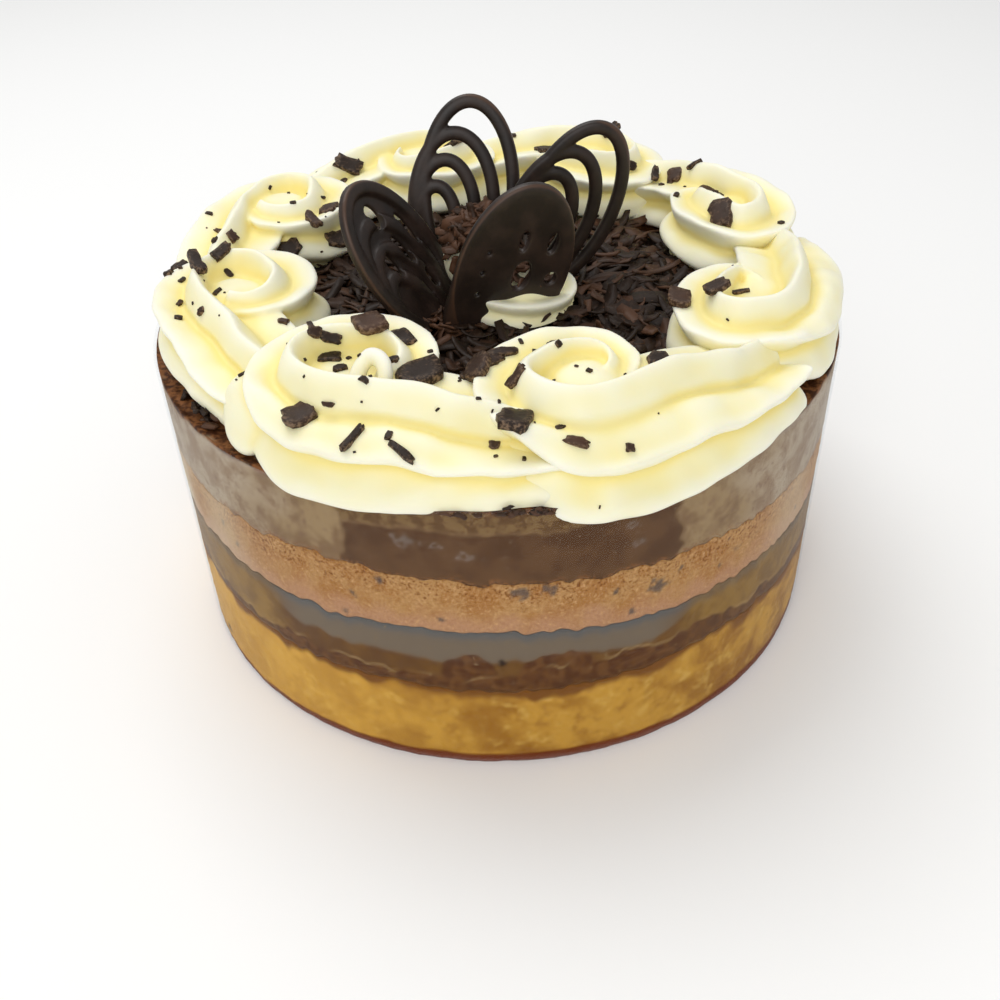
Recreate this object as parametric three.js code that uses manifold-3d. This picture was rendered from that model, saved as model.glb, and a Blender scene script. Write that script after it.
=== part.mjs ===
// A round layered mousse cake in its clear collar: two sponge layers, two mousse
// layers, a ring of eight piped cream swirls with chocolate chips, a heap of chocolate
// shavings and four chocolate filigree leaves standing in a dollop of cream.
// Millimetres, +Z up, the cake stands on z = 0 with its axis on the Z axis.

import * as THREE from "three";
import { mergeVertices } from "three/addons/utils/BufferGeometryUtils.js";
import Module from "manifold-3d";

const wasm = await Module();
wasm.setup();

// Driving dimensions, in millimetres and degrees
const GAP = 0.3;
const COLLAR_RADIUS = 76;
const COLLAR_WALL = 0.4;
const COLLAR_FOOT = 0.8;
const CAKE_TOP = 69;
const CAKE_RADIUS = COLLAR_RADIUS - COLLAR_WALL - GAP;
const ROUND_SIDES = 72;

const BASE_SPONGE_TOP = 23;
const LOWER_MOUSSE_TOP = 38;
const UPPER_SPONGE_TOP = 51.5;

const SWIRLS = 8;
const FIRST_SWIRL_ANGLE = 199;
const SWIRL_RING_RADIUS = 57;
const SWIRL_LOOP = 12;
const INNER_LOOP = 10.4;
const ROPE_RADIUS = 10.4;
const ROPE_FLUTES = 6;
const DOLLOP_FLUTES = 5;
const FLUTE_DEPTH = 0.42;
const CREST_ROUND = 0.15;
const TAIL_LENGTH = 37;
const TAIL_SPREAD = 0.38;
const SWIRL_STRETCH = 1.15;
const SWIRL_REACH = [-4, -0.6, 0.4, -2.4, -4, -4, -4, -4.5];
const SWIRL_DROOP = [0.5, 5, 7, 4.5, 1.5, 1.5, 1.5, 1];
const SWIRL_EYE = [3, 1, 3, 1, 1, 1, 2, 3];
const SWIRL_SHIFT = [0, 0, -3, 0, 0, 0, 0, 0];
const SWIRL_TIGHT = [1, 1, 0.8, 0.62, 0.62, 0.7, 0.8, 1];
const SWIRL_START = [12, 11, 11, 9, 9, 9, 11, 12];
const LIP_SWIRL = 1;
const LIP = [229, 67, 75, 8];
const CURL = [248, 60.5, 84, 4.2];
const SWIRL_TURN = [4, 2, -2, 6, 0, 10, 5, 0];
const SWIRL_BULK = [0.97, 1.03, 1, 0.95, 0.92, 0.9, 0.9, 0.93];

const CHIP_THICKNESS = 1.8;
const CURL_THICKNESS = 1.4;

const HEAP_RADIUS = 48;
const HEAP_HEIGHT = 3;
const SHAVINGS = 64;

const DOLLOP_CENTRE = [4, -4.5];
const DOLLOP_LOOP = 10.4;
const DOLLOP_ROPE = 6;
const DOLLOP_PEAK = [-3, -0.5, 80];
const DOLLOP_PEAK_RADIUS = 8.5;

const LEAF_LENGTH = 40;
const LEAF_WIDTH = 25;
const LEAF_BAR = 3;
const LEAF_THICKNESS = 2.4;

const CREAM_COLOUR = 0xf6efca;
const CHOCOLATE_COLOUR = 0x33251c;
const SPONGE_COLOUR = 0xb98247;
const MOUSSE_COLOUR = 0x5e4028;
const FILM_COLOUR = 0xd9dcdd;

// Small helpers
const rad = (degrees) => (degrees * Math.PI) / 180;
const mix = (a, b, t) => a * (1 - t) + b * t;
const ease = (t) => {
  const c = Math.min(1, Math.max(0, t));
  return c * c * (3 - 2 * c);
};

function seeded(seed) {
  let state = seed;
  return () => {
    state = (state * 1664525 + 1013904223) % 4294967296;
    return state / 4294967296;
  };
}

function solidOf(geometry) {
  const bare = geometry.clone();
  bare.deleteAttribute("normal");
  bare.deleteAttribute("uv");
  const merged = mergeVertices(bare, 1e-4);
  const vertProperties = new Float32Array(merged.attributes.position.array);
  const triVerts = new Uint32Array(merged.index.array);
  const mesh = new wasm.Mesh({ numProp: 3, vertProperties, triVerts });
  mesh.merge();
  return new wasm.Manifold(mesh);
}

function geometryOf(solid) {
  const mesh = solid.getMesh();
  const geometry = new THREE.BufferGeometry();
  const points = new Float32Array(mesh.numVert * 3);
  for (let i = 0; i < mesh.numVert; i += 1) {
    points.set(mesh.vertProperties.subarray(i * mesh.numProp, i * mesh.numProp + 3), i * 3);
  }
  geometry.setAttribute("position", new THREE.BufferAttribute(points, 3));
  geometry.setIndex(new THREE.BufferAttribute(new Uint32Array(mesh.triVerts), 1));
  geometry.computeVertexNormals();
  return geometry;
}

// Keeps the main piece of a cut solid and drops needless small facets
function tidied(solid, tolerance) {
  const main = (whole) => whole.decompose().sort((a, b) => b.volume() - a.volume())[0];
  return main(main(solid).asOriginal().simplify(tolerance));
}

// A straight cylinder along Z used as a grid: every vertex goes to place(angle, along),
// and the two end fans close on the points place gives for a zero radius
function mappedTube(sides, steps, place) {
  const grid = new THREE.CylinderGeometry(1, 1, 1, sides, steps);
  const position = grid.attributes.position;
  const point = new THREE.Vector3();
  for (let i = 0; i < position.count; i += 1) {
    point.fromBufferAttribute(position, i);
    const radius = Math.hypot(point.x, point.z);
    const angle = Math.atan2(point.x, point.z);
    const placed = place(angle, point.y + 0.5, radius);
    position.setXYZ(i, placed.x, placed.y, placed.z);
  }
  return grid;
}

// Layers of sponge and mousse with gently wavy meeting lines at the rim
function meetingHeight(level, angle) {
  const tilt = -1.3 * Math.cos(angle - rad(-20));
  const wave = 0.7 * Math.sin(3 * angle + level) + 0.4 * Math.sin(7 * angle + 2 * level);
  return level + tilt + wave;
}

function layer(bottom, top) {
  const grid = new THREE.CylinderGeometry(CAKE_RADIUS, CAKE_RADIUS, 1, ROUND_SIDES, 1);
  grid.rotateX(Math.PI / 2);
  const position = grid.attributes.position;
  for (let i = 0; i < position.count; i += 1) {
    const x = position.getX(i);
    const y = position.getY(i);
    const height = position.getZ(i) > 0 ? top : bottom;
    position.setZ(i, height(Math.atan2(y, x), Math.hypot(x, y) / CAKE_RADIUS));
  }
  return grid;
}

const meeting = (level, shift) => (angle, out) =>
  out > 0.5 ? meetingHeight(level, angle) + shift : level + shift;
const flat = (level) => () => level;

// The clear film collar, a thin ring clear of the table
function collarRing() {
  const inner = COLLAR_RADIUS - COLLAR_WALL;
  const profile = [
    new THREE.Vector2(inner, COLLAR_FOOT),
    new THREE.Vector2(COLLAR_RADIUS, COLLAR_FOOT),
    new THREE.Vector2(COLLAR_RADIUS, CAKE_TOP),
    new THREE.Vector2(inner, CAKE_TOP),
    new THREE.Vector2(inner, COLLAR_FOOT),
  ];
  const ring = new THREE.LatheGeometry(profile, ROUND_SIDES);
  ring.rotateX(Math.PI / 2);
  return ring;
}

// A fluted rope of piped cream: route(t) gives the centre, the rope's radius and how far
// it has spread sideways, and a star of ridges is carried along it, each flute a hollow
// that swells slowly to the next ridge and drops off behind it
function ropePiece(route, from, to, steps, turning, flutes) {
  const sides = flutes * 3;
  const up = new THREE.Vector3(0, 0, 1);
  return solidOf(
    mappedTube(sides, steps, (angle, along, radius) => {
      const t = mix(from, to, along);
      const here = route(t);
      const ahead = route(t + 0.004).centre.clone().sub(route(t - 0.004).centre).normalize();
      const side = new THREE.Vector3().crossVectors(ahead, up).normalize();
      const rise = new THREE.Vector3().crossVectors(side, ahead);
      const share = ((flutes * angle) / (2 * Math.PI) + flutes) % 1;
      const turn = rad(turning.first) + angle + turning.twist * (t - 0.8);
      const fall = 1 - Math.pow(Math.abs(2 * share - 1), 1.6);
      const rounded = (drop) => Math.hypot(drop, CREST_ROUND) - CREST_ROUND;
      const hollow = rounded(fall) / rounded(1);
      const depth = FLUTE_DEPTH * mix(1, 0.35, ease((0.15 - Math.cos(turn)) / 0.5));
      const reach = radius * here.radius * (1 - depth * hollow);
      const point = here.centre.clone();
      point.addScaledVector(rise, reach * Math.cos(turn));
      point.addScaledVector(side, here.spread * reach * Math.sin(turn));
      return point;
    }),
  );
}

function joined(solids) {
  return wasm.Manifold.union(solids);
}

function block(width, depth, height, x, y, z) {
  return solidOf(new THREE.BoxGeometry(width, depth, height).translate(x, y, z));
}

function swirlAngle(index) {
  return rad(FIRST_SWIRL_ANGLE + SWIRL_SHIFT[index] + (index * 360) / SWIRLS);
}

// One swirl: a small curl at the eye, a loop that runs inward, back and out to the rim,
// and a tail dragged along the rim under the next swirl
function swirlRoute(index, room) {
  const centreAngle = swirlAngle(index);
  const loopShare = 0.58;
  return (t) => {
    const loop = Math.min(t / loopShare, 1);
    const tail = Math.max(0, (t - loopShare) / (1 - loopShare));
    const turn = mix(-0.6, 1.5 * Math.PI, loop);
    const outer = SWIRL_LOOP + SWIRL_REACH[index] - INNER_LOOP;
    const swing = mix(4.2, INNER_LOOP, ease(loop * 2.2)) + outer * ease(loop * 2.5 - 1.5);
    const along = SWIRL_STRETCH * swing * Math.cos(turn) + TAIL_LENGTH * tail;
    const spread = 1 + TAIL_SPREAD * (0.2 * ease(loop * 4 - 3) + 0.8 * ease(tail * 2.2));
    const inner = INNER_LOOP * SWIRL_TIGHT[index];
    const wide = SWIRL_LOOP + SWIRL_REACH[index] - inner;
    const sway = mix(4.2, inner, ease(loop * 2.2)) + wide * ease(loop * 2.5 - 1.5);
    const outward = -sway * Math.sin(turn) - ROPE_RADIUS * (spread - 1);
    const growth = ease(loop * 1.9);
    const rope = ROPE_RADIUS * SWIRL_BULK[index];
    const thickness = mix(5, rope, growth) * mix(1, 0.8, tail * tail) + room;
    const sink = mix(1, 0.45, ease(tail * 1.25 - 0.25));
    const lift = mix(SWIRL_START[index], 0.84 * rope * sink, growth);
    const angle = centreAngle + along / SWIRL_RING_RADIUS;
    const radius = SWIRL_RING_RADIUS + outward;
    const centre = new THREE.Vector3(
      radius * Math.cos(angle),
      radius * Math.sin(angle),
      CAKE_TOP + lift,
    );
    return { centre, radius: thickness, spread };
  };
}

// Where the rope leans over the rim it sags down outside the collar, less and less along its tail
function sagged(solid, depth, middle) {
  return solid.warp((point) => {
    const radius = Math.hypot(point[0], point[1]);
    const past = Math.atan2(point[1], point[0]) - middle;
    const bearing = Math.atan2(Math.sin(past), Math.cos(past));
    const held = 1 - ease((bearing - rad(6)) / rad(26));
    point[2] -= depth * held * ease((radius - 70) / 8);
  });
}

// A long rope is joined from lengths; each one slips a little way into the next
function ropeSolid(route, cuts, steps, turning, flutes) {
  const lap = 0.02;
  const last = steps.length - 1;
  return steps.map((count, i) => {
    const slim = 1 - 0.04 * (last - i);
    const length = (t) => ({ ...route(t), radius: slim * route(t).radius });
    const end = i < last ? cuts[i + 1] + lap : cuts[i + 1];
    return ropePiece(length, cuts[i], end, count, turning, flutes);
  });
}

function dome(radius, x, y, z) {
  const ball = new THREE.SphereGeometry(radius, 10, 6).rotateX(Math.PI / 2);
  return solidOf(ball.translate(x, y, z));
}

function swirl(index, spread) {
  const route = swirlRoute(index, spread);
  const turning = { first: SWIRL_TURN[index], twist: 0.3 };
  const pieces = ropeSolid(route, [0, 0.22, 1], [4, 17], turning, ROPE_FLUTES);
  const middle = swirlAngle(index);
  const x = SWIRL_RING_RADIUS * Math.cos(middle);
  const y = SWIRL_RING_RADIUS * Math.sin(middle);
  pieces.push(dome(12.5 + spread, x, y, CAKE_TOP + SWIRL_EYE[index]));
  if (index === LIP_SWIRL) {
    for (const [angle, reach, height, size] of [LIP, CURL]) {
      const place = [reach * Math.cos(rad(angle)), reach * Math.sin(rad(angle)), height];
      pieces.push(dome(size + spread, ...place));
    }
  }
  return sagged(joined(pieces), SWIRL_DROOP[index], middle);
}

// A chocolate leaf lies flat in its own plane: x across, y from foot to tip
function ovalPoints(count, length, width, shift, inset) {
  const points = [];
  for (let i = 0; i < count; i += 1) {
    const s = (2 * Math.PI * i) / count;
    const x = shift + (width / 2 - inset) * Math.sin(s);
    const y = length / 2 - (length / 2 - inset) * Math.cos(s);
    points.push(new THREE.Vector2(x, y));
  }
  return points;
}

function slab(shape) {
  const settings = { depth: LEAF_THICKNESS, bevelEnabled: false };
  return solidOf(new THREE.ExtrudeGeometry(shape, settings));
}

function ringLoop(length, width, shift) {
  const shape = new THREE.Shape(ovalPoints(18, length, width, shift, 0));
  shape.holes.push(new THREE.Path(ovalPoints(18, length, width, shift, LEAF_BAR)));
  return slab(shape);
}

// Nested loops that share their foot and touch along one side
function openLeaf() {
  const loops = [];
  for (let i = 1; i < 4; i += 1) {
    const width = LEAF_WIDTH - 0.5 - 4 * i;
    loops.push(ringLoop(LEAF_LENGTH - 1 - 5.6 * i, width, (width - LEAF_WIDTH) / 2));
  }
  const outer = LEAF_WIDTH - 2.5;
  loops.push(ringLoop(LEAF_LENGTH, outer, (LEAF_WIDTH - outer) / 2 - 0.3));
  return joined(loops);
}

// A leaf that filled up in its mould, with only a few slits left open
function filledLeaf(slits) {
  const shape = new THREE.Shape(ovalPoints(28, LEAF_LENGTH, LEAF_WIDTH, 0, 0));
  for (const [x, y, width, length] of slits) {
    const slit = new THREE.Path();
    slit.setFromPoints(
      [0, 1, 2, 3, 4, 5].map((k) => {
        const s = rad(60 * k);
        return new THREE.Vector2(x + (width / 2) * Math.sin(s), y + (length / 2) * Math.cos(s));
      }),
    );
    shape.holes.push(slit);
  }
  return slab(shape);
}

// Stands a leaf up: foot and tip are points in the cake, face is the way it looks
function stood(leaf, foot, tip, face) {
  const base = new THREE.Vector3(...foot);
  const along = new THREE.Vector3(...tip).sub(base).normalize();
  const normal = new THREE.Vector3(...face);
  normal.addScaledVector(along, -normal.dot(along)).normalize();
  const across = new THREE.Vector3().crossVectors(along, normal);
  const matrix = new THREE.Matrix4().makeBasis(across, along, normal);
  matrix.setPosition(base.addScaledVector(normal, -LEAF_THICKNESS / 2));
  return leaf.transform(matrix.elements);
}

const group = new THREE.Group();
group.name = "mousse_cake";

function add(name, geometry, colour, extra) {
  const material = new THREE.MeshStandardMaterial({ color: colour, roughness: 0.6, ...extra });
  const mesh = new THREE.Mesh(geometry, material);
  mesh.name = name;
  group.add(mesh);
  return mesh;
}

const half = GAP / 2;
add("base_sponge", layer(flat(0), meeting(BASE_SPONGE_TOP, -half)), SPONGE_COLOUR);
add(
  "lower_mousse",
  layer(meeting(BASE_SPONGE_TOP, half), meeting(LOWER_MOUSSE_TOP, -half)),
  MOUSSE_COLOUR,
);
add(
  "upper_sponge",
  layer(meeting(LOWER_MOUSSE_TOP, half), meeting(UPPER_SPONGE_TOP, -half)),
  SPONGE_COLOUR,
);
add("upper_mousse", layer(meeting(UPPER_SPONGE_TOP, half), flat(CAKE_TOP)), MOUSSE_COLOUR);
add("collar", collarRing(), FILM_COLOUR, { transparent: true, opacity: 0.35 });

// The space the cream keeps clear of: the cake with its collar
const keepOut = solidOf(
  new THREE.CylinderGeometry(
    COLLAR_RADIUS + GAP,
    COLLAR_RADIUS + GAP,
    CAKE_TOP + 40,
    ROUND_SIDES,
  )
    .rotateX(Math.PI / 2)
    .translate(0, 0, (CAKE_TOP - 40) / 2 + GAP),
);

const numbers = Array.from({ length: SWIRLS }, (_, i) => i);
const grown = numbers.map((i) => swirl(i, 2 * GAP));
const bodies = numbers.map((i) => {
  const next = grown[(i + 1) % SWIRLS];
  return swirl(i, 0).subtract(keepOut).subtract(next);
});

// Chocolate chips pressed into the cream: where they lie, how large and how turned
const chips = [
  [242, 72, 7, 6, 20],
  [251, 74, 6, 2, 60],
  [257, 74, 6, 2.4, -40],
  [272, 69, 8, 6.5, 10],
  [266, 50, 8, 4.5, 80],
  [271, 52, 6, 2.4, 15],
  [273, 59, 5, 2.2, -20],
  [279, 73, 5, 2, 0],
  [238, 46, 6.5, 6, 40],
  [238, 57, 4.5, 3.5, 0],
  [235, 56, 5, 3, 10],
  [252, 50, 9, 7, 30],
  [248, 46, 7, 5, 70],
  [258, 51, 6, 4, -20],
  [313, 48, 6, 5, 0],
  [319, 51, 6, 5, 45],
  [326, 53, 5, 3, 30],
  [9, 52, 7, 5, 70],
  [38, 55, 4, 3, 0],
  [129, 57, 7, 4, 10],
  [191, 62, 7, 4.5, 70],
  [189, 57, 5, 3, 20],
  [177, 58, 4, 3, 0],
  [75, 56, 6, 4, 20],
  [100, 53, 5, 4, 60],
  [61, 64, 5, 3, 30],
  [151, 62, 5, 3, 45],
];
const upright = new THREE.Vector3(0, 0, 1);
const lookDown = new THREE.Raycaster();
const chipRooms = [];
for (const [angle, radius, length, width, turn] of chips) {
  const x = radius * Math.cos(rad(angle));
  const y = radius * Math.sin(rad(angle));
  lookDown.set(new THREE.Vector3(x, y, 200), new THREE.Vector3(0, 0, -1));
  const hits = bodies.map((body) => {
    const seen = lookDown.intersectObject(new THREE.Mesh(geometryOf(body)));
    return seen.length > 0 ? seen[0] : null;
  });
  const height = (hit) => (hit ? hit.point.z : 0);
  const i = numbers.reduce((best, k) => (height(hits[k]) > height(hits[best]) ? k : best), 0);
  if (!hits[i]) continue;
  const normal = hits[i].face.normal.clone().addScaledVector(upright, 0.4).normalize();
  const box = new THREE.BoxGeometry(length, width, CHIP_THICKNESS).rotateZ(rad(turn));
  box.applyQuaternion(new THREE.Quaternion().setFromUnitVectors(upright, normal));
  const at = hits[i].point.addScaledVector(normal, 0.1);
  box.translate(at.x, at.y, at.z);
  const before = grown[(i + SWIRLS - 1) % SWIRLS];
  const after = grown[(i + 1) % SWIRLS];
  const chip = solidOf(box);
  bodies[i] = bodies[i].add(chip.subtract(before).subtract(after));
  chipRooms.push(chip);
}
bodies.forEach((body, i) => {
  add(`cream_swirl_${i + 1}`, geometryOf(tidied(body, 0.05)), CREAM_COLOUR);
});

// The leaves' open and filled forms, each stood in the dollop
const heapTop = CAKE_TOP + GAP + HEAP_HEIGHT;
const aboveHeap = block(200, 200, 200, 0, 0, heapTop + GAP + 100);
const frontSlits = [
  [0.2, 27.4, 2, 5],
  [6.5, 27.5, 2, 5],
  [1.8, 19.4, 4, 7],
  [8.5, 19.3, 2.6, 3],
  [0.5, 11, 3, 4],
];
const leftSlits = [
  [2, 31, 3.4, 6],
  [7.4, 22, 2.4, 9],
  [2.2, 21, 2.4, 8],
  [-3, 22, 2.2, 7],
  [3, 11.5, 2.2, 6],
];
const leaves = {
  filigree_left: [filledLeaf(leftSlits), [-8.9, -8.3, 68.5], [-28.2, -15.3, 100.5], [0.82, -0.4, 0.41]],
  filigree_back: [openLeaf(), [-7.3, 2.9, 72.5], [-4.8, 14.4, 110.7], [0.04, -0.96, 0.29]],
  filigree_right: [openLeaf(), [7.4, 2.6, 71], [23.4, 4.6, 106], [0.14, -0.99, 0]],
  filigree_front: [filledLeaf(frontSlits), [-2.2, -14.2, 64.9], [9, -16.3, 101.2], [0.25, -0.95, -0.2]],
};

// The dollop of cream: a rope wound up in a cone over a small mound
function dollopSolid(spread) {
  const route = (t) => {
    const turn = mix(-2.3, 2.1 * Math.PI, t);
    const swing = DOLLOP_LOOP * mix(1, 0.1, ease(t * 1.1 - 0.1));
    const centre = new THREE.Vector3(
      DOLLOP_CENTRE[0] + swing * Math.cos(turn),
      DOLLOP_CENTRE[1] + swing * Math.sin(turn),
      heapTop + 2.8 - 2.6 * ease(4 * t) + 4 * ease(1.4 * t - 0.4),
    );
    const radius = mix(DOLLOP_ROPE, 4.5, ease(2 * t)) * mix(0.75, 1, ease(8 * t)) + spread;
    return { centre, radius, spread: 1 };
  };
  const turning = { first: 0, twist: 0.5 };
  const pieces = ropeSolid(route, [0, 0.5, 1], [8, 7], turning, DOLLOP_FLUTES);
  const start = route(0);
  pieces.push(dome(0.9 * start.radius, start.centre.x, start.centre.y, start.centre.z));
  pieces.push(dome(9 + spread, ...DOLLOP_CENTRE, heapTop));
  pieces.push(dome(DOLLOP_PEAK_RADIUS + spread, ...DOLLOP_PEAK));
  return joined(pieces);
}
const dollop = dollopSolid(0).intersect(aboveHeap);
const dollopRoom = dollopSolid(2 * GAP);

// The leaves run down to the dollop that holds them
const leafRooms = [];
for (const [name, [leaf, foot, tip, face]] of Object.entries(leaves)) {
  const stuck = stood(leaf, foot, tip, face).intersect(aboveHeap).subtract(dollopRoom);
  const body = tidied(stuck, 0.05);
  add(name, geometryOf(body), CHOCOLATE_COLOUR);
  const steps = [
    [GAP, GAP, 0],
    [-GAP, GAP, 0],
    [GAP, -GAP, 0],
    [-GAP, -GAP, 0],
  ];
  leafRooms.push(...steps.map((step) => body.translate(step)));
}

// Broken curls of chocolate that cling to the dollop between the leaves
const curls = [
  [-3, -0.5, 5, 2.6, 20],
  [-6, -3.5, 4.5, 2.4, 70],
  [0, -4.5, 4.6, 2.6, -30],
  [-1.5, 3, 4.4, 2.4, 50],
  [4.5, -7.5, 4.6, 2.6, 100],
];
const bare = new THREE.Mesh(geometryOf(dollop));
let topped = dollop;
for (const [x, y, length, width, turn] of curls) {
  lookDown.set(new THREE.Vector3(x, y, 200), new THREE.Vector3(0, 0, -1));
  const hit = lookDown.intersectObject(bare)[0];
  const normal = hit.face.normal.clone().addScaledVector(upright, 0.4).normalize();
  const box = new THREE.BoxGeometry(length, width, CURL_THICKNESS).rotateZ(rad(turn));
  box.applyQuaternion(new THREE.Quaternion().setFromUnitVectors(upright, normal));
  const at = hit.point.addScaledVector(normal, 0.2);
  box.translate(at.x, at.y, at.z);
  topped = topped.add(solidOf(box).subtract(joined(leafRooms)));
}
add("centre_dollop", geometryOf(tidied(topped, 0.05)), CREAM_COLOUR);

// The heap of shavings: a low mound with flakes lying over it, clear of what stands in it
const mound = solidOf(
  new THREE.LatheGeometry(
    [
      new THREE.Vector2(0, CAKE_TOP + GAP),
      new THREE.Vector2(HEAP_RADIUS, CAKE_TOP + GAP),
      new THREE.Vector2(HEAP_RADIUS - 1.5, CAKE_TOP + GAP + 1),
      new THREE.Vector2(24, heapTop),
      new THREE.Vector2(0, heapTop),
    ],
    36,
  ).rotateX(Math.PI / 2),
);
const taken = joined([...grown, ...chipRooms, ...leafRooms, dollopRoom]);
const aboveCake = block(200, 200, 200, 0, 0, CAKE_TOP + GAP + 100);
const draw = seeded(11);
const flakes = [];
for (let i = 0; i < SHAVINGS; i += 1) {
  const angle = i * rad(137.5);
  const radius = 19 + 24 * Math.sqrt((i + 0.5) / SHAVINGS);
  const flake = new THREE.BoxGeometry(7 + 4 * draw(), 2.6 + 1.6 * draw(), 0.9);
  flake.rotateX((draw() - 0.5) * 1);
  flake.rotateY((draw() - 0.5) * 0.6);
  flake.rotateZ(draw() * Math.PI);
  const slope = Math.max(0, (radius - 24) / (HEAP_RADIUS - 24));
  flake.translate(radius * Math.cos(angle), radius * Math.sin(angle), heapTop + 0.3 - 2 * slope);
  const solid = solidOf(flake);
  if (solid.intersect(taken).isEmpty()) flakes.push(solid);
}
const heap = tidied(joined([mound.subtract(joined(grown)), ...flakes]).intersect(aboveCake), 0.05);
add("shavings_heap", geometryOf(heap), CHOCOLATE_COLOUR);

export default group;
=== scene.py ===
# A round mousse cake in its clear collar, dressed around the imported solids. Metres, +Z up, the
# cake stands on z = 0 with its axis on the Z axis and the photographed side towards -Y.

import math

import bpy
import numpy as np
from mathutils import Matrix, Vector
from mathutils.bvhtree import BVHTree


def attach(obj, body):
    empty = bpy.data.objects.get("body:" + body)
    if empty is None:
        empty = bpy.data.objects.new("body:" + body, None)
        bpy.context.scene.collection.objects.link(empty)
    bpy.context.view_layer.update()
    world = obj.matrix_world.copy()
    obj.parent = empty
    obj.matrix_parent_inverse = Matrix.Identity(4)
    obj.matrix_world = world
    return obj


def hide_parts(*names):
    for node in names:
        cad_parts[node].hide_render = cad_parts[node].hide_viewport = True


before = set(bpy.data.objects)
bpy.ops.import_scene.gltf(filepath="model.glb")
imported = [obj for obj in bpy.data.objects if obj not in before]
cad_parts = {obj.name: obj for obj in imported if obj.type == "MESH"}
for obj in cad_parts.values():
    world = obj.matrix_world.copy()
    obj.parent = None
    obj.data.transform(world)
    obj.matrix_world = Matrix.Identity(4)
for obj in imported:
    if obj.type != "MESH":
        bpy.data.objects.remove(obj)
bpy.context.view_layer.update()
scene = bpy.context.scene
scene.view_settings.view_transform = "Standard"


# The camera stands in front of the cake and well above it, with a normal lens, and leans a
# little to one side as a hand-held camera does.
CAMERA_PLACE = Vector((0.0, -0.2234, 0.1897))
CAMERA_AIM = Vector((-0.0008, 0.0, 0.0110))
CAMERA_LEAN = math.radians(-2.156)
camera_lens = bpy.data.cameras.new("camera")
camera_lens.sensor_fit = "HORIZONTAL"
camera_lens.sensor_width = 36.0
camera_lens.lens = 39.72
camera_lens.clip_start = 0.01
camera = bpy.data.objects.new("camera", camera_lens)
aimed = (CAMERA_AIM - CAMERA_PLACE).to_track_quat("-Z", "Y").to_matrix().to_4x4()
lean = Matrix.Rotation(CAMERA_LEAN, 4, "Z")
camera.matrix_world = Matrix.Translation(CAMERA_PLACE) @ aimed @ lean
scene.collection.objects.link(camera)
scene.camera = camera


# The base sponge is a thick disc of golden sponge, baked and trimmed round. It stands on the
# floor and carries the whole cake; syrup has darkened its top edge, a dark reddish line runs along
# its foot, thicker on the right, and painted light makes its left side lighter.
MM = 0.001
CAKE_RADIUS = 75.3
SIDE_COLUMNS = 960
LAYER_GAP = 0.02
BASE_SPONGE_TOP = 23.0
BASE_SPECKS = ((-151.0, 4.5, 1.3),)
SPECK_COLOUR = (36, 22, 12)
SPONGE_GOLD = ((154, 104, 32), (196, 146, 56))
SPONGE_SOAKED = (138, 88, 26)
SPONGE_PALE = (218, 176, 88)
SPONGE_GLINT = (236, 196, 108)
SPONGE_PORE = (124, 78, 24)
# the colour of the painted light on the sponge's left side
SPONGE_BRIGHT = (228, 174, 70)
SPONGE_EDGE = (120, 74, 26)
# the colour of the dark line along the foot
SPONGE_SYRUP = (112, 46, 0)


def ease(t):
    """Smooth step: three t squared minus two t cubed, with t held between 0 and 1."""
    t = np.clip(t, 0.0, 1.0)
    return t * t * (3.0 - 2.0 * t)


def mix(a, b, t):
    """Straight blend: a at t = 0, b at t = 1."""
    return a * (1.0 - t) + b * t


def polar(span, turn, height):
    """Points at a distance from the cake's axis, on a bearing and at a height."""
    return np.stack(np.broadcast_arrays(span * np.cos(turn), span * np.sin(turn), height), axis=-1)


def full_turn(count):
    """Evenly spaced angles all the way round, without the last one that equals the first."""
    return np.linspace(0.0, 2.0 * np.pi, count, endpoint=False)


def mottle(points, wavelength, seed):
    """Uneven relief over points in mm: sixteen plane waves of random heading, phase and a length near
    wavelength, added up and scaled to run from about -1 to 1."""
    draw = np.random.default_rng(seed)
    heading = draw.normal(size=(16, 3))
    heading /= np.linalg.norm(heading, axis=1, keepdims=True)
    length = wavelength * draw.uniform(0.7, 1.6, size=(16, 1))
    phase = draw.uniform(0.0, 2.0 * np.pi, size=16)
    return np.sin(points @ (heading * (2.0 * np.pi / length)).T + phase).sum(axis=-1) / 4.5


def meeting_height(level, angle):
    """Height where two layers meet at the side: the level, a tilt of one wave round the cake, waves of
    three and seven to the round, and an uneven ragged edge."""
    tilt = -1.3 * np.cos(angle + math.radians(20.0))
    wave = 0.7 * np.sin(3.0 * angle + level) + 0.4 * np.sin(7.0 * angle + 2.0 * level)
    edge = polar(CAKE_RADIUS, angle, 0.0)
    ragged = 0.4 * mottle(edge, 7.0, int(level)) + 0.35 * mottle(edge, 2.8, int(level) + 1)
    return level + tilt + wave + ragged


def meets(level, gap):
    """The meeting height for any bearings, moved up by a gap."""
    return lambda angle: meeting_height(level, angle) + gap


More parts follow.
